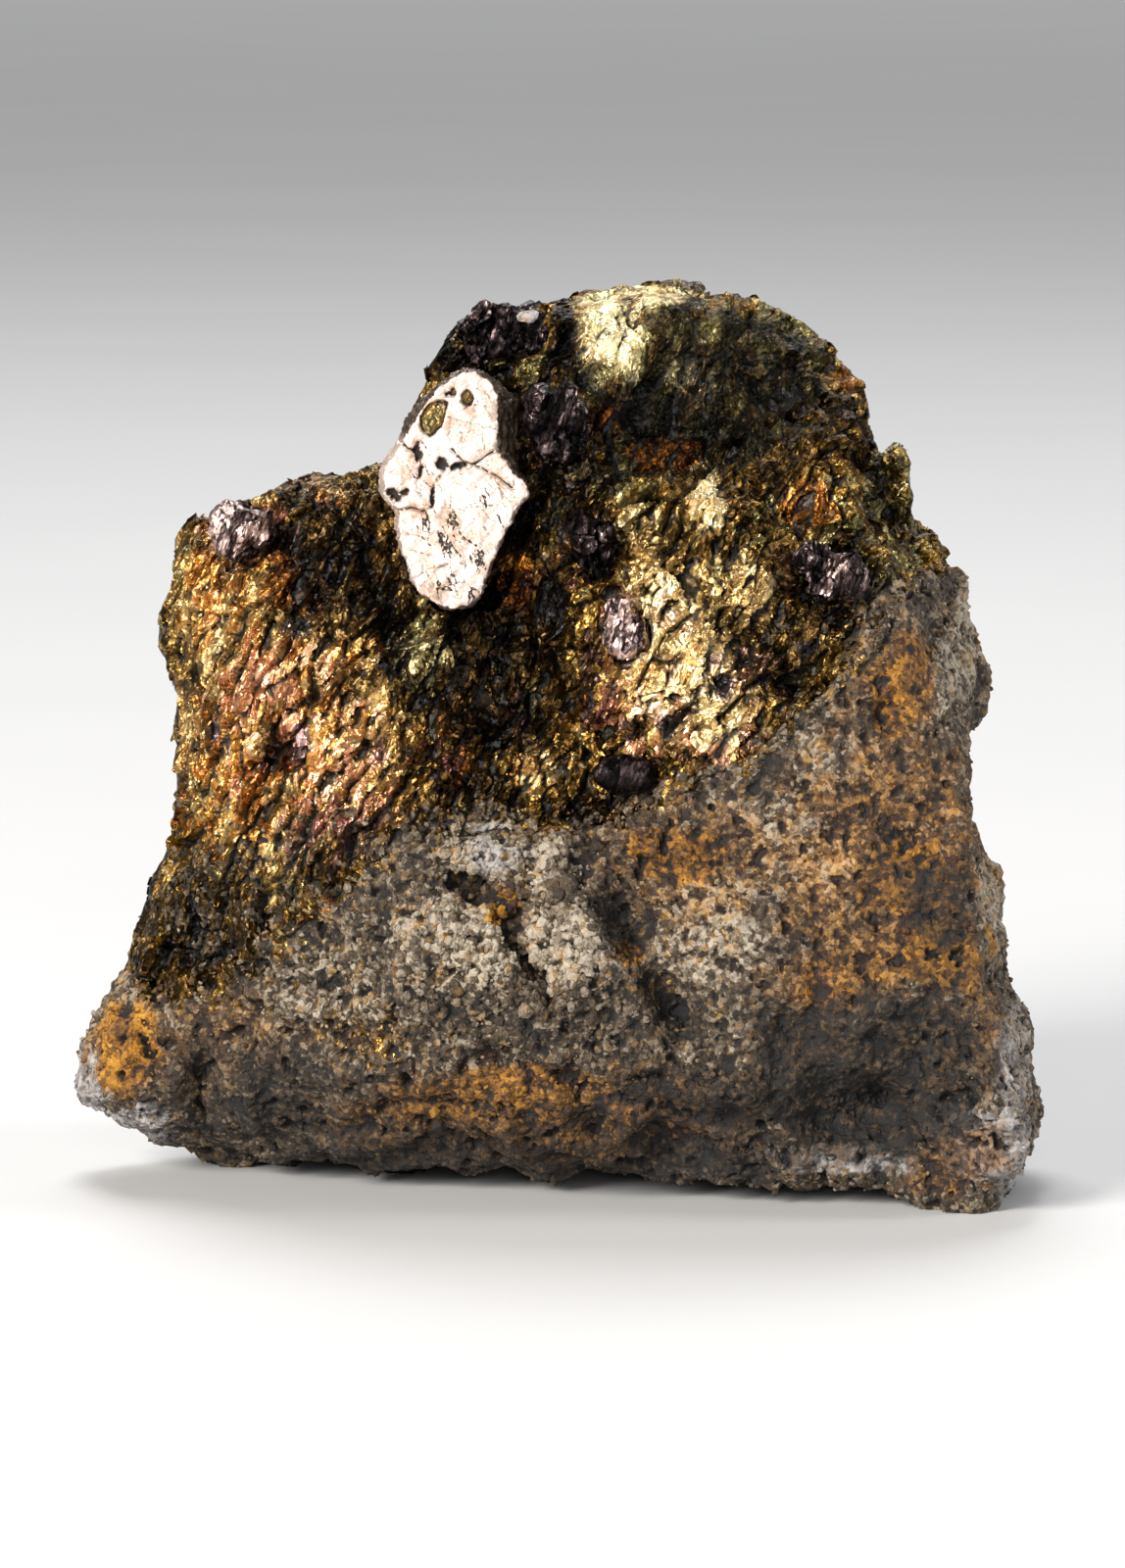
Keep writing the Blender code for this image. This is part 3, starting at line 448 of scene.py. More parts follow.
class Finish:
    """A surface finish in the making: nodes added round one shader."""

    def __init__(self, name):
        self.material = bpy.data.materials.new(name)
        self.material.use_nodes = True
        self.tree = self.material.node_tree
        self.shader = self.tree.nodes["Principled BSDF"]

    def feed(self, socket, value):
        if isinstance(value, Value):
            self.tree.links.new(value.socket, socket)
        elif isinstance(value, tuple) and len(socket.default_value) == 4:
            socket.default_value = (*value, 1.0)
        else:
            socket.default_value = value

    def node(self, kind, settings, sockets, output=0):
        made = self.tree.nodes.new("ShaderNode" + kind)
        for key, value in settings.items():
            if key == "stops":
                stops = made.color_ramp.elements
                stops.remove(stops[1])
                stops[0].position = value[0][0]
                stops[0].color = (*value[0][1], 1.0)
                for place, colour in value[1:]:
                    stops.new(place).color = (*colour, 1.0)
            else:
                setattr(made, key, value)
        for key, value in sockets.items():
            self.feed(made.inputs[key], value)
        return Value(self, made.outputs[output])

    def place(self, lean=0.0, long=1.0, warp=0.0):
        """Places on the piece, drawn out along a leaning direction where long is over 1, and
        shifted unevenly by up to the warp in millimetres."""
        plain = self.node("TexCoord", {}, {}, output="Object")
        if lean == 0.0 and long == 1.0:
            return plain
        if warp > 0.0:
            sockets = {"Vector": plain, "Scale": 1.0 / (warp * 3.0 * MM), "Detail": 2.0}
            shift = self.node("TexNoise", {}, sockets, output=1)
            shift = self.vector("SUBTRACT", shift, (0.5, 0.5, 0.5))
            plain = self.vector("ADD", plain, self.scaled(shift, warp * MM))
        turn = (0.0, math.radians(lean), 0.0)
        sockets = {"Vector": plain, "Rotation": turn, "Scale": (1.0, 1.0, long)}
        return self.node("Mapping", {"vector_type": "TEXTURE"}, sockets)

    def grain(self, size, detail=3.0, where=None):
        """Soft noise with waves of a given size in millimetres."""
        sockets = {"Vector": where or self.place(), "Scale": 1.0 / (size * MM), "Detail": detail}
        return self.node("TexNoise", {}, sockets)

    def cell(self, size, output="Distance", where=None):
        """Uneven cells of a given size in millimetres."""
        sockets = {"Vector": where or self.place(), "Scale": 1.0 / (size * MM)}
        return self.node("TexVoronoi", {}, sockets, output=output)

    def read(self, name):
        return self.node("Attribute", {"attribute_name": name}, {}, output="Fac")

    def spread(self, value, low, high, to_low=0.0, to_high=1.0):
        sockets = {0: value, 1: low, 2: high, 3: to_low, 4: to_high}
        return self.node("MapRange", {"clamp": True}, sockets)

    def edge(self, mask, rough, width=0.16, level=0.5):
        """A soft mask with its edge broken up by noise."""
        return self.spread(mask + (rough - 0.5) * 1.5, level - width, level + width)

    def ramp(self, value, *stops):
        return self.node("ValToRGB", {"stops": stops}, {"Fac": value}, output="Color")

    def blend(self, share, first, second, how="MIX"):
        settings = {"data_type": "RGBA", "blend_type": how}
        return self.node("Mix", settings, {0: share, 6: first, 7: second}, output=2)

    def channel(self, colour, index):
        return self.node("SeparateColor", {}, {0: colour}, output=index)

    def scaled(self, vector, share):
        return self.node("VectorMath", {"operation": "SCALE"}, {0: vector, "Scale": share})

    def vector(self, operation, first, second):
        return self.node("VectorMath", {"operation": operation}, {0: first, 1: second})

    def tilts(self, size, strength, where):
        """A random lean for each small cell, so that they catch the light one by one."""
        chance = self.cell(size, "Color", where)
        even = self.vector("SUBTRACT", chance, (0.5, 0.5, 0.5))
        return self.vector("MULTIPLY", even, (strength,) * 3)

    def tilted(self, *leans):
        normal = self.node("NewGeometry", {}, {}, output="Normal")
        for lean in leans:
            normal = self.vector("ADD", normal, lean)
        return self.node("VectorMath", {"operation": "NORMALIZE"}, {0: normal})

    def bump(self, height, depth, under=None):
        """Relief of a given depth in millimetres."""
        sockets = {"Strength": 1.0, "Distance": depth * MM, "Height": height}
        if under is not None:
            sockets["Normal"] = under
        return self.node("Bump", {}, sockets, output="Normal")

    def finished(self, **inputs):
        for name, value in inputs.items():
            self.feed(self.shader.inputs[name.replace("_", " ")], value)
        return self.material


def mineral_finish(name, loose=False):
    """Sugary gangue where the ore attribute is low, flaky tarnished ore where it is high. Loose
    grains and flakes carry their own chances, and a solid surface takes them from its cells."""
    made = Finish(name)
    fine = made.grain(0.10, 3.0)
    broad = made.grain(1.5, 4.0)
    patchy = made.grain(0.55, 5.0)
    speck = made.cell(0.20, "Color")
    speck_red = made.channel(speck, 0)
    speck_green = made.channel(speck, 1)
    sunk = made.read("sunk")

    if loose:
        speck_red = made.read("chance_a")
    lightness = speck_red * 0.30 + fine * 0.34 + broad * 0.30 + patchy * 0.25
    # Painted shade: the stone is darker where the surface lies sunk.
    lightness = lightness + made.read("pale") * 0.24 - made.spread(sunk, 0.0, 1.0) * 0.50
    stone = made.ramp(
        lightness,
        (0.32, tone(7, 5, 3)), (0.48, tone(31, 24, 17)), (0.64, tone(75, 63, 48)),
        (0.86, tone(158, 148, 132)),
    )
    rusty = made.ramp(
        lightness,
        (0.30, tone(11, 7, 1)), (0.47, tone(54, 31, 2)), (0.64, tone(118, 77, 3)),
        (0.90, tone(188, 130, 10)),
    )
    quartz = made.ramp(
        lightness + 0.10,
        (0.30, tone(22, 19, 18)), (0.55, tone(76, 71, 69)), (0.85, tone(156, 153, 152)),
    )
    stone = made.blend(made.edge(made.read("quartz"), patchy, 0.2), stone, quartz)
    ochre = made.spread(made.grain(0.36, 5.0, made.place()) + broad * 0.4, 0.76, 0.86)
    yellow = made.ramp(lightness, (0.3, tone(20, 12, 3)), (0.8, tone(150, 108, 40)))
    stone = made.blend(ochre * 0.6, stone, yellow)
    earthy = made.edge(made.read("rust"), patchy, 0.40, 0.34)
    stone = made.blend(earthy * 0.65, stone, made.blend(0.45, stone, tone(70, 40, 10)))
    spongy = patchy * 0.5 + fine * 0.5
    rust = made.edge(made.read("rust"), spongy, 0.22, 0.56)
    stone = made.blend(rust * 0.92, stone, rusty)
    # Painted shade: dark umber in the shadowed places and the fissure, and darker stone at random
    # on the back.
    deep = made.edge(made.read("deep"), patchy, 0.34, 0.44)
    umber_shade = made.ramp(
        lightness, (0.36, tone(4, 3, 2)), (0.62, tone(15, 10, 6)), (0.88, tone(74, 53, 28))
    )
    stone = made.blend(deep * 0.90, stone, umber_shade)

    flow = made.place(FLAKE_LEAN, 2.2, 0.14)
    chance = made.cell(0.46, "Color", flow)
    first, second, third = [made.channel(chance, index) for index in range(3)]
    small = made.channel(made.cell(0.17, "Color", flow), 0)
    if loose:
        first, second, third = [made.read(row) for row in ("chance_a", "chance_b", "chance_c")]
    block = made.cell(1.05, "Color", flow)
    shell = made.read("shell")
    value = made.channel(block, 0) * 0.16 + first * 0.24 + small * 0.20 + broad * 0.36 + 0.06
    # The pale patches raise the value, partly as painted highlight; the dark ones lower it, partly
    # as painted shade.
    value = value + made.read("bright") * 0.34 - made.read("dark") * 0.34 - shell * 0.10
    brass = made.ramp(value, *BRASS)
    olive = made.ramp(value, *OLIVE)
    ore = made.blend(made.edge(made.read("olive"), first, 0.3), brass, olive)
    # Painted highlight: the brightest flakes of the pale patches go cream.
    cream_and_highlight = made.read("bright") * made.spread(value, 0.35, 0.85) * 0.55
    ore = made.blend(cream_and_highlight, ore, tone(240, 220, 174))
    orange_block = second * 0.4 + made.channel(block, 1) * 0.6
    pink_block = third * 0.4 + made.channel(block, 2) * 0.6
    for stain, chance, rough, width, level, least, share, colours in (
        ("orange", (orange_block - 0.5) * 0.7, patchy, 0.20, 0.55, 0.0, 0.8, ORANGE),
        ("pink", (pink_block - 0.5) * 0.9, first, 0.20, 0.60, 0.15, 0.7, PINK),
        ("violet", (first - 0.5) * 0.7, second, 0.25, 0.66, 0.10, 0.6, VIOLET),
    ):
        cover = made.edge(made.read(stain) + chance, rough, width, level)
        cover = cover * made.spread(made.read(stain), 0.02, 0.25, least, 1.0)
        ore = made.blend(cover * share, ore, made.ramp(value, *colours))
    blue = made.edge(made.read("blue") + (third - 0.5) * 0.4, patchy, 0.2, 0.6)
    ore = made.blend(blue * 0.7, ore, tone(58, 66, 86))
    # Painted shade: the ore goes near black in its crevices, the deeper the darker.
    crevice_shade = made.spread(sunk + (fine - 0.5) * 0.5, 0.06, 0.62)
    ore = made.blend(crevice_shade * 0.95, ore, tone(7, 5, 3))

    brassy = made.read("ore") + (patchy - 0.5) * 0.9 + (speck_green - 0.5) * 0.35
    brassy = made.spread(brassy, 0.44, 0.54)
    surface = made.blend(brassy, stone, ore)
    streak = made.grain(0.06, 2.0, made.place(FLAKE_LEAN, 8.0, 0.5))
    facet = brassy * (1.0 - shell * 0.40)
    tilted = made.tilted(
        made.scaled(made.tilts(0.46, 0.40, flow), facet),
        made.scaled(made.tilts(0.17, 0.42, flow), facet),
        made.tilts(0.11, 0.18, made.place()),
    )
    relief = fine * (1.0 - brassy) * 2.0 + streak * brassy * (1.2 + shell * 1.6)
    return made.finished(
        Base_Color=surface,
        Roughness=0.80 - brassy * made.spread(small - crevice_shade * 0.6, -0.5, 1.0, 0.30, 0.58),
        Metallic=brassy * (1.0 - crevice_shade * 0.6) * 0.94,
        Normal=made.bump(relief, 0.035, tilted),
    )


def flakes(points, spacing, seed, lean, long, slope, shingled=0.0):
    """Flat flakes side by side, each tilted its own way and all of them rising to the right
    where shingled: their lift in units of the spacing."""
    cell, way, seam, chance = cells(points, spacing, seed, (1, 1, long), (0, lean, 0))
    rise = (way * chance[cell, :3]).sum(axis=1) * slope
    return rise + way[:, 0] * shingled + chance[cell, 3] * 0.22, seam


def dress(piece, finish, smooth=False):
    """Gives a piece its one finish, shaded flat from facet to facet or smooth."""
    piece.data.materials.clear()
    piece.data.materials.append(finish)
    if smooth:
        piece.data.shade_smooth()
    else:
        piece.data.shade_flat()


def paint(piece, side, closing, neighbour):
    """Closes the contact with the neighbour, carves the fine relief of both minerals and marks
    where each stain and tarnish lies and where shade and highlights are painted. The side is 1 on
    the ore and -1 on the gangue."""
    points = points_of(piece.data)
    normals = normals_of(piece.data)
    away = distance_to(faces_of(neighbour), points, 3.0 * MM)
    reach = np.clip((CONTACT_REACH - away) / (0.15 * MM), 0.0, 1.0)
    points = points + normals * (reach * closing)[:, None]
    across, down = seen_at(points)
    front = np.clip((0.25 - normals[:, 1]) / 0.4, 0.0, 1.0)
    head_on = np.clip((-0.1 - normals[:, 1]) / 0.5, 0.0, 1.0)
    rear = 1.0 - front
    waver = ripple(points, 1.1 * MM, 3) * 0.35

    def on_front(rows):
        return front * patches(across, down, rows, waver)

    clouds = ripple(points, 5.0 * MM, 21)
    other = ripple(points, 4.0 * MM, 35)

    apart = np.clip(away / MINGLING, 0.0, 1.0)
    mingled = 0.5 + 0.5 * side * apart + 0.4 * ripple(points, 0.9 * MM, 17, 3) * (1.0 - apart)
    ore_share = np.clip(mingled + on_front(ORE_SPECKS) * 0.5, 0.0, 1.0)
    ore_share -= on_front(ORE_GRITTY) * 0.48 * np.clip(mingled * 4.0 - 1.5, 0.0, 1.0)
    ore_relief = np.clip((mingled + waver * 0.6 - 0.35) / 0.3, 0.0, 1.0)

    shell = on_front(SHELL_FACE)
    right_lean = patches(across, down, RIGHT_LEANING, waver) > 0.5
    bent = points + ripples(points, 1.4 * MM, (71, 72, 73)) * 0.22 * MM
    bent += ripples(points, 5.0 * MM, (74, 75, 76)) * 0.5 * MM
    huge, huge_seam = flakes(bent, HUGE_FLAKE, 40, FLAKE_LEAN + 6.0, 2.2, 1.0, 0.5)
    big, big_seam = flakes(bent, BIG_FLAKE, 41, FLAKE_LEAN, 2.0, 0.9, 0.6)
    big_right, seam_right = flakes(bent, LEANING_FLAKE, 44, FLAKE_LEAN + RIGHT_LEAN, 2.0, 0.9, 0.6)
    big = np.where(right_lean, big_right, big)
    big_seam = np.where(right_lean, seam_right, big_seam)
    middle, middle_seam = flakes(bent, MIDDLE_FLAKE, 42, FLAKE_LEAN + 4.0, 2.2, 0.9, 0.6)
    small, _ = flakes(bent, SMALL_FLAKE, 43, FLAKE_LEAN - 4.0, 3.2, 1.0)
    rough = (1.0 - 0.88 * shell) * (0.6 + 0.4 * head_on)
    flaky = rough * (0.46 * big + 0.24 * middle) + 0.06 * small * (1.0 + 0.8 * shell)
    flaky += head_on * (0.60 * huge - 0.10 * np.clip(1.0 - huge_seam / 0.10, 0.0, 1.0))
    flaky -= LEDGE_DEPTH * front * np.clip(1.3 - near_line(across, down, LEDGE) / 4.0, 0.0, 1.0)
    flaky -= 0.10 * rough * np.clip(1.0 - big_seam / 0.14, 0.0, 1.0)
    flaky -= 0.05 * rough * np.clip(1.0 - middle_seam / 0.18, 0.0, 1.0)

    calm = on_front(FLAT_FACE)
    knobbly = on_front(KNOBBLY) + rear * 0.4
    sugary = knobs(points, BIG_KNOB, 5) * (0.06 + 0.14 * knobbly)
    sugary += knobs(points, MIDDLE_KNOB, 6) * (0.09 + 0.07 * knobbly)
    sugary += knobs(points, SMALL_KNOB, 7) * 0.075
    sugary += ripple(points, 1.8 * MM, 9, 4) * (0.40 - 0.20 * calm)
    sugary += front * ripple(points, 3.4 * MM, 25, 3) * (0.50 - 0.25 * calm)
    pores = np.clip(ripple(points, 0.8 * MM, 23, 3) - 0.30, 0.0, 0.4) * 1.1
    sugary -= pores * (1.0 - 0.4 * knobbly) * (1.0 - 0.5 * calm)

    wander = ripple(points, 0.7 * MM, 19, 3) * 4.0
    gape = 13.0 - 8.0 * np.clip((down - FISSURE_NARROWS) / 100.0, 0.0, 1.0)
    crack = np.clip(1.2 - (near_line(across, down, FISSURE) + wander) / gape, 0.0, 1.0) * front
    lift = flaky * ore_relief + sugary * (1.0 - ore_relief) + ripple(points, 2.2 * MM, 15, 3) * 0.10
    lift -= FISSURE_DEPTH * crack
    points = points + normals * (lift * MM)[:, None]
    points[:, 2] = np.maximum(points[:, 2], 0.0)
    move_points(piece.data, points)
    # How far each point lies sunk below its smoothed neighbours, which the finishes paint as shade.
    sunk = ((relaxed(piece.data, 24) - points) * normals).sum(axis=1) / (0.13 * MM)

    stain = np.maximum(on_front(GANGUE_RUST), rear * np.clip(0.3 + clouds, 0.0, 0.8))
    # Painted shade on the front and in the fissure, and darker patches at random on the back.
    shade = np.maximum(on_front(GANGUE_SHADE), rear * np.clip(other, 0.0, 0.6))
    mark(
        piece.data,
        ore=ore_share,
        sunk=np.clip(sunk, -0.5, 1.0),
        shell=shell,
        rust=np.maximum(stain, crack * 0.45),
        quartz=on_front(GANGUE_QUARTZ),
        deep=shade + crack * 0.5,
        pale=on_front(GANGUE_PALE) + rear * 0.3,
        bright=on_front(ORE_PALE_AND_HIGHLIGHT),
        dark=np.maximum(on_front(ORE_DARK_AND_SHADE), rear * 0.3),
        olive=np.maximum(on_front(ORE_OLIVE), rear * 0.4),
        orange=np.maximum(on_front(ORE_ORANGE), rear * np.clip(clouds, 0.0, 0.8)),
        pink=on_front(ORE_PINK),
        violet=np.maximum(on_front(ORE_VIOLET), rear * np.clip(other, 0.0, 0.7)),
        blue=on_front(ORE_BLUE),
    )


gangue = finer_copy("gangue_rock", "gangue_surface", COARSE_STEP)
paint(gangue, -1.0, GANGUE_CLOSING, "chalcopyrite_mass")
thin_out(gangue, GANGUE_TRIANGLES)
dress(gangue, mineral_finish("sugary_gangue"))
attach(gangue, "root")
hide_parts("gangue_rock")


# The chalcopyrite: a solid mass of brassy flakes packed side by side, with its crevices painted
# near black as shade, and an orange, pink and violet tarnish. Its upper block is broken with a
# smooth shell-like face.
CHALCOPYRITE_CLOSING = 0.20 * MM
CHALCOPYRITE_TRIANGLES = 190000

ore = finer_copy("chalcopyrite_mass", "chalcopyrite_surface", COARSE_STEP)
paint(ore, 1.0, CHALCOPYRITE_CLOSING, "gangue_rock")
thin_out(ore, CHALCOPYRITE_TRIANGLES)
dress(ore, mineral_finish("tarnished_chalcopyrite"))
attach(ore, "root")
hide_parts("chalcopyrite_mass")


# Loose-edged flakes of chalcopyrite that stand out of the mass: thin five-sided blades, most of
# them leaning the same way, each with its own tarnish.
FLAKE_COUNT = 4600
STRAY_COUNT = 900
FLAKE_SIDES = 5
FLAKE_LENGTH = (0.19, 0.38)
FLAKE_SHAPE = (0.62, 0.14)
FLAKE_TURNING = 16.0
LEANING_RIGHT = 20.0
STRAY_LENGTH = 0.6
COPY_JITTER = 0.16
LEAST_WEIGHT = 0.002


def values_of(mesh, name):
    row = np.empty(len(mesh.vertices), dtype=np.float32)
    mesh.attributes[name].data.foreach_get("value", row)
    return row.astype(np.float64)


def scattered(host, weight, count, seed):
    """Spots spread over a piece, more of them where its points weigh more: the spots, the
    surface's direction there and one of the piece's points beside each."""
    mesh = host.data
    mesh.calc_loop_triangles()
    corners = np.empty(len(mesh.loop_triangles) * 3, dtype=np.int32)
    mesh.loop_triangles.foreach_get("vertices", corners)
    corners = corners.reshape(-1, 3)
    points = points_of(mesh)
    first, second, third = [points[corners[:, index]] for index in range(3)]
    area = np.linalg.norm(np.cross(second - first, third - first), axis=1) / 2.0
    share = area * weight[corners].mean(axis=1)
    draw = np.random.default_rng(seed)
    chosen = draw.choice(len(share), size=count, p=share / share.sum())
    mix = draw.dirichlet((1.0, 1.0, 1.0), size=count)
    spots = first[chosen] * mix[:, :1] + second[chosen] * mix[:, 1:2] + third[chosen] * mix[:, 2:]
    return spots, normals_of(mesh)[corners[chosen, 0]], corners[chosen, 0]


def together(*lots):
    """Several lots of scattered spots as one, with each lot's points beside them apart."""
    spots, outward, besides = zip(*lots)
    return np.concatenate(spots), np.concatenate(outward), besides


def unit(rows):
    return rows / np.linalg.norm(rows, axis=1)[:, None]


def many(name, shape, spots, axes, sizes, seed):
    """One mesh of many copies of a small shape, each turned, sized and knocked out of true."""
    shape.verts.index_update()
    corners = np.array([vert.co for vert in shape.verts])
    sides = np.array([[vert.index for vert in face.verts] for face in shape.faces])
    draw = np.random.default_rng(seed)
    local = corners[None] * (1.0 + draw.normal(0.0, COPY_JITTER, (len(spots), len(corners), 3)))
    local = local * sizes[:, None]
    places = spots[:, None] + np.einsum("nci,nij->ncj", local, axes)
    places[..., 2] = np.maximum(places[..., 2], 0.0)
    faces = sides[None] + (np.arange(len(spots)) * len(corners))[:, None, None]
    mesh = bpy.data.meshes.new(name)
    mesh.from_pydata(places.reshape(-1, 3).tolist(), [], faces.reshape(-1, 3).tolist())
    shape.free()
    return add_object(name, mesh)


def inherit(piece, hosts, besides, seed, ore_share):
    """Gives each copy the stains, painted shade and painted highlights of the surface beside it and
    three chances of its own.
    """
    draw = np.random.default_rng(seed)
    copies = sum(len(beside) for beside in besides)
    corners = len(piece.data.vertices) // copies
    rows = {}
    for name in STAINS_AND_PAINTED_LIGHT:
        values = [values_of(host.data, name)[beside] for host, beside in zip(hosts, besides)]
        rows[name] = np.repeat(np.concatenate(values), corners)
    rows["ore"] = np.full(len(rows[STAINS_AND_PAINTED_LIGHT[0]]), ore_share)
    for name in ("chance_a", "chance_b", "chance_c"):
        rows[name] = np.repeat(draw.random(copies), corners)
    mark(piece.data, **rows)


# The marks each loose piece takes from its host: stains and tarnish, and painted shade and
# highlights.
STAINS_AND_PAINTED_LIGHT = (
    "rust", "quartz", "deep", "pale", "bright", "dark", "shell", "olive", "orange", "pink",
    "violet", "blue",
)

facing = np.clip((0.35 - normals_of(ore.data)[:, 1]) / 0.5, 0.0, 1.0)
weight = (0.35 + 0.65 * facing) * np.clip(values_of(ore.data, "ore") * 2.0 - 1.0, 0.03, 1.0)
weight *= 1.0 - 0.85 * facing * patches(*seen_at(points_of(ore.data)), SHELL_FACE, 0.0)
weight *= np.clip(1.3 - values_of(ore.data, "sunk"), 0.2, 1.0)
across, down = seen_at(points_of(gangue.data))
stray = np.clip(values_of(gangue.data, "ore") * 2.0 - 0.2, 0.0, 1.0)
stray += 0.30 * patches(across, down, ORE_SPECKS, 0.0)
spots, outward, besides = together(
    scattered(ore, weight, FLAKE_COUNT, 101),
    scattered(gangue, stray + LEAST_WEIGHT, STRAY_COUNT, 105),
)
draw = np.random.default_rng(102)
across, down = seen_at(spots)
lean = FLAKE_LEAN + LEANING_RIGHT * (patches(across, down, RIGHT_LEANING, 0.0) > 0.5)
lean = np.radians(lean + draw.normal(0.0, FLAKE_TURNING, len(spots)))
along = np.stack([np.sin(lean), draw.normal(0.0, 0.25, len(spots)), np.cos(lean)], axis=1)
outward = unit(outward + draw.normal(0.0, 0.20, (len(spots), 3)))
along = unit(along - outward * (along * outward).sum(axis=1)[:, None])
axes = np.stack([along, np.cross(outward, along), outward], axis=1)
length = np.exp(draw.normal(math.log(FLAKE_LENGTH[0]), FLAKE_LENGTH[1], len(spots))) * MM
length[FLAKE_COUNT:] *= STRAY_LENGTH
sizes = length[:, None] * np.array([1.0, *FLAKE_SHAPE])
sizes[:, 1] *= draw.uniform(0.7, 1.5, len(spots))
blade = bmesh.new()
bmesh.ops.create_cone(
    blade, segments=FLAKE_SIDES, radius1=1.0, radius2=0.8, depth=1.0, cap_ends=True, cap_tris=False
)
bmesh.ops.triangulate(blade, faces=blade.faces[:])
flake_piece = many("chalcopyrite_flakes", blade, spots - outward * 0.02 * MM, axes, sizes, 103)
inherit(flake_piece, (ore, gangue), besides, 104, 1.0)
dress(flake_piece, mineral_finish("chalcopyrite_flake", loose=True))
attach(flake_piece, "root")


# The sugar of the gangue: small blunt grains of quartz and carbonate grown over its surface,
# glassy and larger on the knobbly lump in the middle.
SUGAR_COUNT = 7000
CREEPING_COUNT = 900
SUGAR_SIZE = (0.085, 0.38)
LARGER_ON_LUMP = 0.55

facing = np.clip((0.35 - normals_of(gangue.data)[:, 1]) / 0.5, 0.0, 1.0)
weight = (0.35 + 0.65 * facing) * np.clip(1.2 - values_of(gangue.data, "ore") * 1.4, 0.02, 1.0)
across, down = seen_at(points_of(gangue.data))
weight *= 0.6 + 1.6 * facing * patches(across, down, KNOBBLY, 0.0)
weight *= 1.0 - 0.6 * facing * patches(across, down, FLAT_FACE, 0.0)
creeping = np.clip(1.1 - values_of(ore.data, "ore") * 1.5, 0.0, 1.0) + 0.001
spots, outward, besides = together(
    scattered(gangue, weight, SUGAR_COUNT, 111), scattered(ore, creeping, CREEPING_COUNT, 115)
)
draw = np.random.default_rng(112)
across, down = seen_at(spots)
size = np.exp(draw.normal(math.log(SUGAR_SIZE[0]), SUGAR_SIZE[1], len(spots))) * MM
size = size * (1.0 + LARGER_ON_LUMP * patches(across, down, KNOBBLY, 0.0))
along = unit(np.cross(outward, draw.normal(0.0, 1.0, (len(spots), 3))))
axes = np.stack([along, np.cross(outward, along), outward], axis=1)
sizes = size[:, None] * draw.uniform(0.6, 1.4, (len(spots), 3))
grain = bmesh.new()
bmesh.ops.create_icosphere(grain, subdivisions=1, radius=1.0)
spots = spots + outward * size[:, None] * 0.02
sugar = many("gangue_sugar_grains", grain, spots, axes, sizes, 113)
inherit(sugar, (gangue, ore), besides, 114, 0.0)
dress(sugar, mineral_finish("gangue_sugar", loose=True))
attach(sugar, "root")


# The bright crystal: a thick tabular crystal of arsenohauchecornite, pinkish silver, broken a
# little at its foot, cracked and scratched, with grains of chalcopyrite grown into its face.
CRYSTAL_STEP = 0.052 * MM
CRYSTAL_TRIANGLES = 120000
CRYSTAL_BELLY = 1.0 * MM
CRYSTAL_DEPTH = 2.9 * MM
CRACK_DEPTH = 0.16
PIT_DEPTH = 0.30

# The crystal's edge in the picture: on its front face, and on its widest ring behind that.
CRYSTAL_EDGE = (
    (391, 485, 390, 485), (395, 473, 394, 472), (403, 462, 402, 462), (410, 449, 409, 449),
    (418, 438, 415, 436), (426, 425, 421, 423), (437, 408, 433, 408), (449, 396, 444, 399),
    (465, 384, 460, 385), (474, 379, 475, 377), (487, 380, 490, 379), (499, 389, 504, 387),
    (506, 398, 519, 400), (507, 418, 530, 410), (507, 439, 529, 439), (505, 459, 524, 462),
    (521, 478, 533, 485), (537, 498, 538, 499), (538, 505, 539, 505), (528, 519, 529, 518),
    (520, 535, 521, 534), (508, 558, 509, 558), (500, 581, 501, 581), (495, 594, 496, 594),
    (490, 609, 491, 610), (480, 619, 481, 620), (473, 621, 474, 622), (459, 622, 459, 623),
    (449, 618, 449, 619), (430, 607, 429, 608), (420, 593, 419, 594), (416, 574, 415, 574),
    (411, 561, 410, 561), (406, 541, 405, 541), (406, 521, 405, 521), (399, 514, 398, 515),
    (392, 505, 391, 505),
)
BEVELLED = slice(4, 17)
BEVEL_END = 496.0
# Across where the painted shade on the crystal's right side begins, and down where it ends.
SIDE_SHADE_LEFT = 480.0
SIDE_SHADE_END = 520.0
FOOT_TOP = 560.0

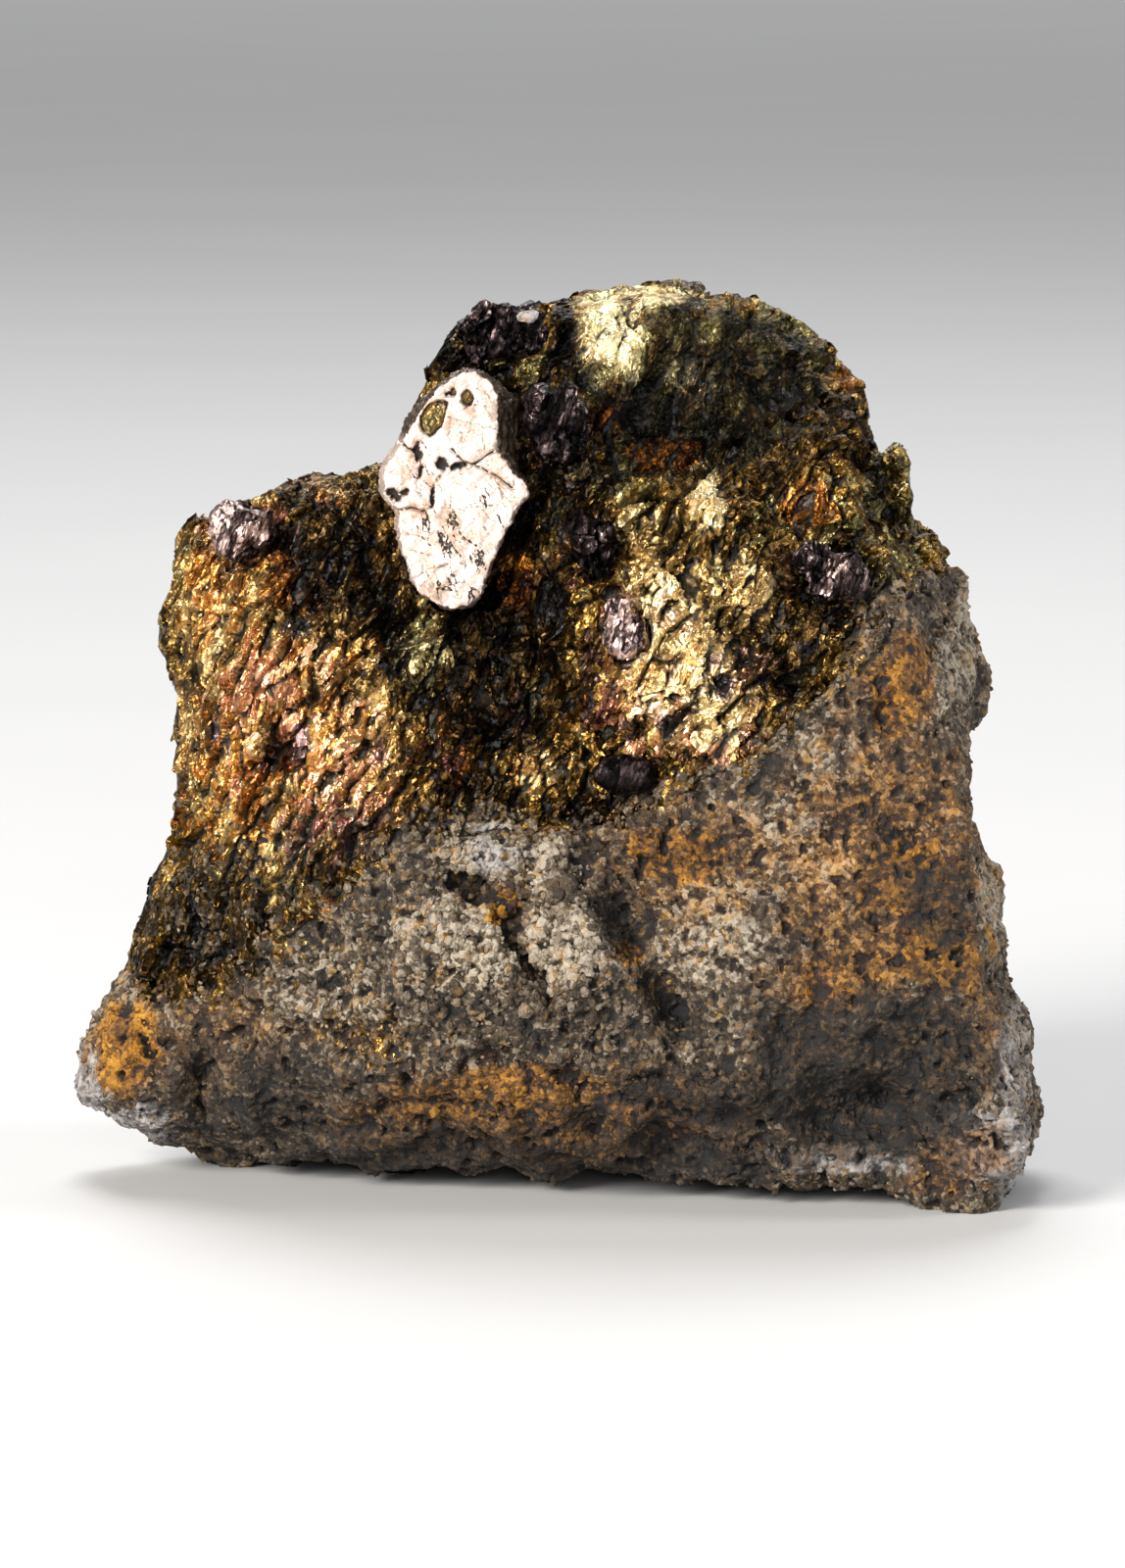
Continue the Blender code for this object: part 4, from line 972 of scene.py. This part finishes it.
# Where its front face ends on the right: how far down, and how far across there.
RIGHT_EDGE = ((376, 384, 398, 459, 478, 498), (482, 495, 506, 506, 521, 540))
CRYSTAL_CRACKS = (
    ((405, 449), (411, 452), (417, 457), (425, 461)),
    ((461, 458), (467, 465), (475, 472), (485, 474), (495, 466), (511, 456)),
    ((485, 474), (498, 481), (511, 489), (526, 500)),
    ((463, 476), (475, 473)),
    ((406, 521), (420, 518), (436, 523)),
)
CRYSTAL_HAIRLINES = (
    ((436, 385), (444, 400)), ((470, 440), (480, 458)), ((478, 430), (470, 448)),
    ((480, 395), (498, 402), (505, 420)), ((488, 436), (506, 438)), ((470, 410), (500, 416)),
    ((408, 545), (425, 546), (440, 540)), ((490, 500), (494, 520)), ((480, 508), (500, 530)),
    ((500, 488), (520, 512)), ((432, 440), (430, 455)), ((420, 580), (440, 588), (452, 600)),
    ((448, 575), (470, 590)), ((462, 596), (480, 590)), ((440, 480), (452, 500)),
    ((449, 424), (469, 429), (505, 437)), ((487, 409), (505, 429)), ((492, 439), (494, 459)),
    ((469, 419), (485, 412)), ((505, 488), (515, 515), (518, 528)), ((485, 495), (492, 515)),
    ((499, 485), (510, 495), (525, 508)), ((475, 518), (508, 515)),
    ((446, 495), (469, 485), (485, 472)),
    ((423, 515), (452, 518), (475, 520)), ((404, 541), (433, 548)), ((492, 535), (505, 554)),
    ((459, 502), (462, 528)), ((436, 581), (469, 574), (492, 587)), ((446, 601), (475, 594)),
    ((419, 561), (442, 568)), ((410, 470), (430, 490), (428, 505)), ((460, 440), (448, 452)),
)
CRYSTAL_PITS = (
    (426, 460, 5, 9, 10, 1.0), (451, 474, 6, 6, 0, 1.0), (468, 476, 8, 4, 12, 1.0),
    (429, 482, 2.2, 7, -20, 0.8), (441, 507, 2.6, 10, -6, 0.9), (402, 505, 7, 6, 0, 1.0),
    (412, 503, 5, 4, 0, 0.8), (449, 486, 2, 2, 0, 0.6), (458, 402, 3, 2.4, 0, 0.7),
)
STROKE_GROUPS = (
    (433, 531, 9, 12, 9), (447, 545, 7, 9, 7), (460, 531, 8, 12, 9), (457, 554, 8, 6, 9),
    (466, 547, 6, 7, 6), (486, 566, 7, 10, 14), (500, 500, 14, 16, 8), (445, 590, 22, 16, 14),
    (480, 600, 10, 12, 6), (430, 480, 24, 40, 8),
)
INCLUSIONS = (
    ((431, 426), (434, 419), (440, 413), (449, 410), (456, 411), (453, 423), (449, 434), (439, 444),
     (434, 440), (431, 434)),
    ((473, 402), (476, 399), (480, 401), (482, 407), (480, 412), (476, 413), (473, 409)),
    ((461, 400), (463, 398), (465, 401), (463, 403), (461, 402)),
)


def flat_face(node):
    """The middle of a solid's flat front face and the direction it faces."""
    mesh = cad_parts[node].data
    front = [face for face in mesh.polygons if face.normal.y < -0.97]
    total = sum(face.area for face in front)
    middle = sum((face.center * face.area for face in front), Vector()) / total
    facing = sum((face.normal * face.area for face in front), Vector()).normalized()
    return middle, facing


def on_plane(spots, middle, facing):
    """Where spots of the picture lie on a plane."""
    spots = np.array(spots, dtype=float)
    off = (spots - np.array(PICTURE) / 2) * POINT / LENS_DISTANCE
    sight = np.array(FORWARD) + np.outer(off[:, 0], (1, 0, 0)) - np.outer(off[:, 1], UPWARD)
    reach = (middle - LENS_PLACE).dot(facing) / (sight @ np.array(facing))
    return np.array(LENS_PLACE) + sight * reach[:, None]


def ring(bm, places):
    verts = [bm.verts.new(place) for place in places]
    return verts, [bm.edges.new(pair) for pair in zip(verts, verts[1:] + verts[:1])]


face_middle, face_facing = flat_face("arsenohauchecornite_crystal")
facing = np.array(face_facing)
edge = np.array(CRYSTAL_EDGE, dtype=float)
face_rim = on_plane(edge[:, :2], face_middle, face_facing)
belly_rim = on_plane(edge[:, 2:], face_middle - face_facing * CRYSTAL_BELLY, face_facing)
bm = bmesh.new()
front_verts, front_ring = ring(bm, face_rim)
_, belly_ring = ring(bm, belly_rim)
back_verts, back_ring = ring(bm, belly_rim - facing * (CRYSTAL_DEPTH - CRYSTAL_BELLY))
bmesh.ops.bridge_loops(bm, edges=front_ring + belly_ring)
bmesh.ops.bridge_loops(bm, edges=belly_ring + back_ring)
bm.faces.new(front_verts)
bm.faces.new(back_verts)
bmesh.ops.triangulate(bm, faces=bm.faces[:])
bmesh.ops.recalc_face_normals(bm, faces=bm.faces[:])
crystal = add_made("arsenohauchecornite_plate", bm)
recast(crystal, CRYSTAL_STEP, 3)
points = points_of(crystal.data)
normals = normals_of(crystal.data)
bevel = np.clip((0.80 - normals @ facing) / 0.2, 0.0, 1.0)
across, down = seen_at(points)
bevelled = [[row[side:side + 2] for row in CRYSTAL_EDGE[BEVELLED]] for side in (0, 2)]
bevel *= np.clip(1.4 - near_lines(across, down, bevelled) / 14.0, 0.0, 1.0)
turned = across - np.interp(down, *RIGHT_EDGE)
turned = np.clip(turned / 2.0, 0.0, 1.0) * np.clip((BEVEL_END - down) / 6.0, 0.0, 1.0)
bevel = np.maximum(bevel, turned * ((points - face_middle) @ facing < -0.04 * MM))
sideways = ripples(points, 0.30 * MM, (51, 52, 53), 4)
sideways -= (sideways @ facing)[:, None] * facing
points = points + sideways * 0.10 * MM
across, down = seen_at(points)
flat = 1.0 - bevel
draw = np.random.default_rng(61)
strokes = []
for middle_x, middle_y, half_x, half_y, count in STROKE_GROUPS:
    for _ in range(count):
        x = middle_x + draw.normal(0.0, 0.5) * half_x
        y = middle_y + draw.normal(0.0, 0.5) * half_y
        turn = math.radians(draw.normal(64.0, 20.0))
        reach = draw.uniform(6.0, 17.0)
        strokes.append(((x, y), (x + reach * math.cos(turn), y + reach * math.sin(turn))))
across = across + ripple(points, 0.30 * MM, 68, 3) * 1.6
down = down + ripple(points, 0.30 * MM, 69, 3) * 1.6
crack_way = near_lines(across, down, CRYSTAL_CRACKS)
hair_way = near_lines(across, down, CRYSTAL_HAIRLINES)
stroke_way = near_lines(across, down, strokes)
crack = np.clip(1.6 - crack_way, 0.0, 1.0)
waver = ripple(points, 0.22 * MM, 63) * 0.6
pit = patches(across, down, CRYSTAL_PITS, waver)
socket = near_lines(across, down, [(*rim, rim[0]) for rim in INCLUSIONS])
socket = np.clip(1.0 - socket / 2.4, 0.0, 1.0)
pit = np.maximum(pit, socket)
foot = np.clip((down - FOOT_TOP) / 30.0, 0.0, 1.0)
steps, _ = flakes(points, 0.42 * MM, 64, 50.0, 2.0, 1.0)
lift = ripple(points, 1.6 * MM, 65, 3) * 0.05 + ripple(points, 0.35 * MM, 66, 3) * 0.018
lift += steps * (0.02 + 0.10 * foot) - 0.06 * foot
lift -= CRACK_DEPTH * crack + PIT_DEPTH * pit + 0.10 * socket
side_steps, _ = flakes(points, 0.30 * MM, 67, 10.0, 3.0, 1.0)
lift = lift * flat + side_steps * 0.08 * bevel
points = points + normals * (lift * MM)[:, None]
move_points(crystal.data, points)
mark(
    crystal.data, crack_way=crack_way + 4.0 * bevel, hair_way=hair_way + 9.0 * bevel,
    stroke_way=stroke_way + 9.0 * bevel, pit=pit * flat, bevel=bevel,
    bronze=bevel * np.clip((across - SIDE_SHADE_LEFT) / 10.0, 0.0, 1.0) * (down < SIDE_SHADE_END),
)
thin_out(crystal, CRYSTAL_TRIANGLES)


def silver_finish(name):
    made = Finish(name)
    cloud = made.grain(0.9, 4.0)
    fine = made.grain(0.16, 4.0)
    plate = made.channel(made.cell(0.45, "Color", made.place(-35.0, 2.0)), 0)
    mottle = made.spread(cloud * 0.7 + fine * 0.3 + plate * 0.25, 0.40, 0.78)
    silver = made.blend(mottle, tone(238, 226, 217), tone(200, 168, 148))
    freckle = made.spread(made.grain(0.08, 2.0), 0.62, 0.70)
    silver = made.blend(freckle * 0.4, silver, tone(110, 80, 66))
    scratch = made.spread(made.grain(0.05, 2.0, made.place(-28.0, 9.0, 0.3)), 0.63, 0.68)
    other = made.spread(made.grain(0.05, 2.0, made.place(64.0, 12.0, 0.3)), 0.64, 0.69)
    silver = made.blend((scratch + other) * 0.40, silver, tone(84, 58, 46))
    ragged = (made.grain(0.12, 4.0) - 0.5) * 2.2
    hair = made.spread(made.read("hair_way") + ragged, 0.35, 0.95, 1.0, 0.0)
    silver = made.blend(hair * 0.65, silver, tone(60, 40, 30))
    stroke = made.spread(made.read("stroke_way") + ragged * 0.9, 0.45, 0.90, 1.0, 0.0)
    crack = made.spread(made.read("crack_way") + ragged * 0.6, 0.60, 1.15, 1.0, 0.0)
    pit = made.edge(made.read("pit"), made.grain(0.11, 4.0), 0.12, 0.45)
    crack = made.spread(crack + stroke + pit, 0.0, 1.0)
    silver = made.blend(crack * 0.97, silver, tone(16, 10, 7))
    # The bevelled sides are striated and painted darker than the face as shade, near black on the
    # right side.
    side = made.ramp(
        made.grain(0.10, 3.0, made.place(12.0, 6.0)) * 0.6 + fine * 0.4,
        (0.30, tone(20, 15, 12)), (0.50, tone(66, 54, 46)), (0.72, tone(170, 146, 130)),
    )
    bronze = made.blend(fine, tone(14, 10, 6), tone(70, 54, 32))
    side = made.blend(made.read("bronze") * 0.85, side, bronze)
    bevel = made.read("bevel")
    silver = made.blend(bevel * 0.96, silver, side)
    relief = fine * 0.5 + cloud * 0.4 - scratch * 0.5 - other * 0.5
    tilted = made.tilted(
        made.tilts(0.45, 0.07, made.place(-35.0, 2.0)),
        made.scaled(made.tilts(0.16, 0.35, made.place(40.0, 2.0)), bevel),
    )
    return made.finished(
        Base_Color=silver,
        Roughness=made.spread(fine + crack * 2.0, 0.2, 2.0, 0.32, 1.0),
        Metallic=0.72 - crack * 0.7,
        Normal=made.bump(relief, 0.022, tilted),
    )


dress(crystal, silver_finish("pinkish_silver"), smooth=True)
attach(crystal, "root")
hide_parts("arsenohauchecornite_crystal")

# Its grains of chalcopyrite sit in sockets in the face.
INCLUSION_RISE = 0.05 * MM
INCLUSION_DEPTH = 0.4 * MM

bm = bmesh.new()
for rim in INCLUSIONS:
    outer = on_plane(rim, face_middle, face_facing)
    inner = outer.mean(axis=0) + (outer - outer.mean(axis=0)) * 0.8
    top_verts, top_ring = ring(bm, inner + facing * INCLUSION_RISE)
    _, low_ring = ring(bm, outer - facing * 0.02 * MM)
    end_verts, end_ring = ring(bm, outer - facing * INCLUSION_DEPTH)
    bmesh.ops.bridge_loops(bm, edges=top_ring + low_ring)
    bmesh.ops.bridge_loops(bm, edges=low_ring + end_ring)
    bm.faces.new(top_verts)
    bm.faces.new(end_verts)
bmesh.ops.triangulate(bm, faces=bm.faces[:])
bmesh.ops.subdivide_edges(bm, edges=bm.edges[:], cuts=4, use_grid_fill=True)
bmesh.ops.triangulate(bm, faces=bm.faces[:])
bmesh.ops.recalc_face_normals(bm, faces=bm.faces[:])
inclusions = add_made("chalcopyrite_inclusions", bm)
points = points_of(inclusions.data)
ridges, _ = flakes(points, 0.22 * MM, 71, 16.0, 2.6, 1.0)
lift = ridges * 0.05 * MM + ripple(points, 0.5 * MM, 72) * 0.04 * MM
points = points + normals_of(inclusions.data) * lift[:, None]
move_points(inclusions.data, points)
even = np.ones(len(points))
# A little painted highlight and olive tarnish on the included grains.
mark(inclusions.data, ore=even, bright=even * 0.2, olive=even * 0.6)
dress(inclusions, mineral_finish("included_chalcopyrite"))
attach(inclusions, "root")


# The smaller grains of arsenohauchecornite: broken, violet grey and dull, with pinkish glints
# where a flake faces the light. One is a smooth dark oval crystal.
GRAIN_STEP = 0.085 * MM
GRAIN_SWELL = 0.27
GRAIN_FLATTENED = 0.36
GRAIN_CUTS = 9

# Name, how pale it is, how rough, how far it strays from an even lump, and its spread
# across and up.
GRAINS = (
    ("beside_crystal", -0.08, 1.0, 0.60, 1.35, 1.2), ("middle", -0.06, 1.1, 0.65, 0.9, 1.28),
    ("pink", 0.22, 0.9, 0.60, 0.75, 1.0), ("dark_oval", -0.10, 0.25, 0.16, 0.95, 0.75),
    ("top", -0.06, 1.2, 0.55, 1.5, 1.3), ("shoulder", 0.22, 0.8, 0.65, 0.9, 1.1),
    ("right", 0.06, 1.1, 0.65, 1.15, 1.0),
)


def grey_finish(name, pale):
    made = Finish(name)
    flow = made.place(18.0, 4.0)
    fine = made.grain(0.10, 4.0)
    chance = made.cell(0.30, "Color", flow)
    value = made.channel(chance, 0) * 0.38 + made.channel(made.cell(0.10, "Color", flow), 1) * 0.36
    value = value + made.grain(0.5, 4.0) * 0.40 + pale
    # Painted shade: the grain is darker where it lies sunk.
    value = value - made.spread(made.read("sunk"), 0.0, 1.0) * 0.5
    metal = made.ramp(
        value,
        (0.28, tone(9, 7, 7)), (0.56, tone(40, 32, 33)), (0.76, tone(88, 75, 74)),
        (0.98, tone(232, 200, 190)),
    )
    tilted = made.tilted(made.tilts(0.60, 0.30, flow), made.tilts(0.10, 0.22, flow))
    return made.finished(
        Base_Color=metal,
        Roughness=made.spread(fine, 0.2, 0.8, 0.22, 0.48),
        Metallic=0.9,
        Normal=made.bump(fine, 0.02, tilted),
    )


for kind, pale, roughness, straying, widened, raised in GRAINS:
    node = "arsenohauchecornite_" + kind
    lump = finer_copy(node, node + "_grain", GRAIN_STEP)
    points = points_of(lump.data)
    middle = (points.min(axis=0) + points.max(axis=0)) / 2.0
    points = middle + (points - middle) * (widened, 1.0, raised)
    outward = points[:, 1] < middle[1]
    points[outward, 1] = middle[1] + (points[outward, 1] - middle[1]) * GRAIN_FLATTENED
    seed = sum(ord(letter) for letter in kind)
    draw = np.random.default_rng(seed)
    half = (points.max(axis=0) - points.min(axis=0)) / 2.0
    for _ in range(GRAIN_CUTS if roughness > 0.5 else 0):
        cut = unit(draw.normal(0.0, 1.0, (1, 3)))[0]
        reach = np.linalg.norm(half * cut) * draw.uniform(0.42, 0.80)
        beyond = np.clip((points - middle) @ cut - reach, 0.0, None)
        points = points - beyond[:, None] * cut
    move_points(lump.data, points)
    normals = normals_of(lump.data)
    big, _ = flakes(points, 1.5 * MM, seed, 20.0, 1.4, 1.0)
    small, _ = flakes(points, 0.36 * MM, seed + 1, 26.0, 3.0, 1.0)
    lift = GRAIN_SWELL + straying * ripple(points, 1.5 * MM, seed % 50, 3)
    lift += roughness * (0.42 * big + 0.09 * small)
    points = points + normals * (lift * MM)[:, None]
    move_points(lump.data, points)
    sunk = ((relaxed(lump.data, 16) - points) * normals).sum(axis=1) / (0.10 * MM)
    mark(lump.data, sunk=np.clip(sunk, -0.5, 1.0) * roughness)
    dress(lump, grey_finish("violet_grey_" + kind, pale))
    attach(lump, "root")
    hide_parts(node)


# The quartz grain: one glassy grain sits on the topmost of them. Where it shows in the picture,
# and half its width, depth and height in millimetres.
QUARTZ_SEEN = (534, 322)
QUARTZ_SIZE = (0.50, 0.30, 0.26)

host = points_of(bpy.data.objects["arsenohauchecornite_top_grain"].data)
across, down = seen_at(host)
close = np.hypot(across - QUARTZ_SEEN[0], down - QUARTZ_SEEN[1]) < 6.0
place = host[close][np.argmin(host[close][:, 1])]
bm = bmesh.new()
bmesh.ops.create_icosphere(bm, subdivisions=4, radius=1.0)
quartz = add_made("quartz_grain", bm)
points = points_of(quartz.data)
points *= (1.0 + 0.22 * ripple(points, 0.9, 81, 3))[:, None]
move_points(quartz.data, place + points * np.array(QUARTZ_SIZE) * MM)
even = np.ones(len(points))
mark(quartz.data, quartz=even, pale=even * 0.4)
dress(quartz, mineral_finish("glassy_quartz"), smooth=True)
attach(quartz, "root")


# The floor, the light and the lens: a plain pale table under large soft lamps.
FLOOR_SIZE = 12.0
SENSOR = 36.0


def lamp(name, place, size, power, colour=(1.0, 1.0, 1.0), aim=AIM):
    light = bpy.data.lights.new(name, "AREA")
    light.shape = "DISK"
    light.size = size
    light.energy = power
    light.color = colour
    holder = add_object(name, light)
    holder.location = place
    way = aim - Vector(place)
    holder.rotation_euler = way.to_track_quat("-Z", "Y").to_euler()


bm = bmesh.new()
bmesh.ops.create_grid(bm, x_segments=1, y_segments=1, size=FLOOR_SIZE / 2)
floor = add_made("floor", bm)
made = Finish("pale_table")
pale = made.ramp(made.grain(40.0), (0.0, tone(196, 196, 197)), (1.0, tone(202, 202, 202)))
floor.data.materials.append(made.finished(Base_Color=pale, Roughness=0.6))

world = bpy.data.worlds.new("soft_room")
world.use_nodes = True
world.node_tree.nodes["Background"].inputs["Color"].default_value = (0.80, 0.82, 0.86, 1.0)
world.node_tree.nodes["Background"].inputs["Strength"].default_value = 0.16
bpy.context.scene.world = world
bpy.context.scene.view_settings.view_transform = "Standard"

lamp("key", (-0.34, -0.46, 0.26), 0.28, 7.4, (1.0, 0.96, 0.90))
lamp("near_lens", (0.02, -0.62, 0.16), 0.20, 1.1)
lamp("right_side", (0.50, -0.02, 0.20), 0.16, 1.8)
lamp("above", (-0.05, 0.26, 0.50), 0.24, 1.8)
lamp("far_table", (0.0, 3.2, 2.4), 3.0, 60.0, aim=Vector((0.0, 3.0, 0.0)))

lens = bpy.data.cameras.new("lens")
lens.sensor_fit = "AUTO"
lens.sensor_width = SENSOR
lens.lens = SENSOR * LENS_DISTANCE / (PICTURE[1] * POINT)
lens.clip_start = 0.01
camera = add_object("camera", lens)
camera.location = LENS_PLACE
camera.rotation_euler = (math.radians(90.0) - LENS_ANGLE, 0.0, 0.0)
bpy.context.scene.camera = camera
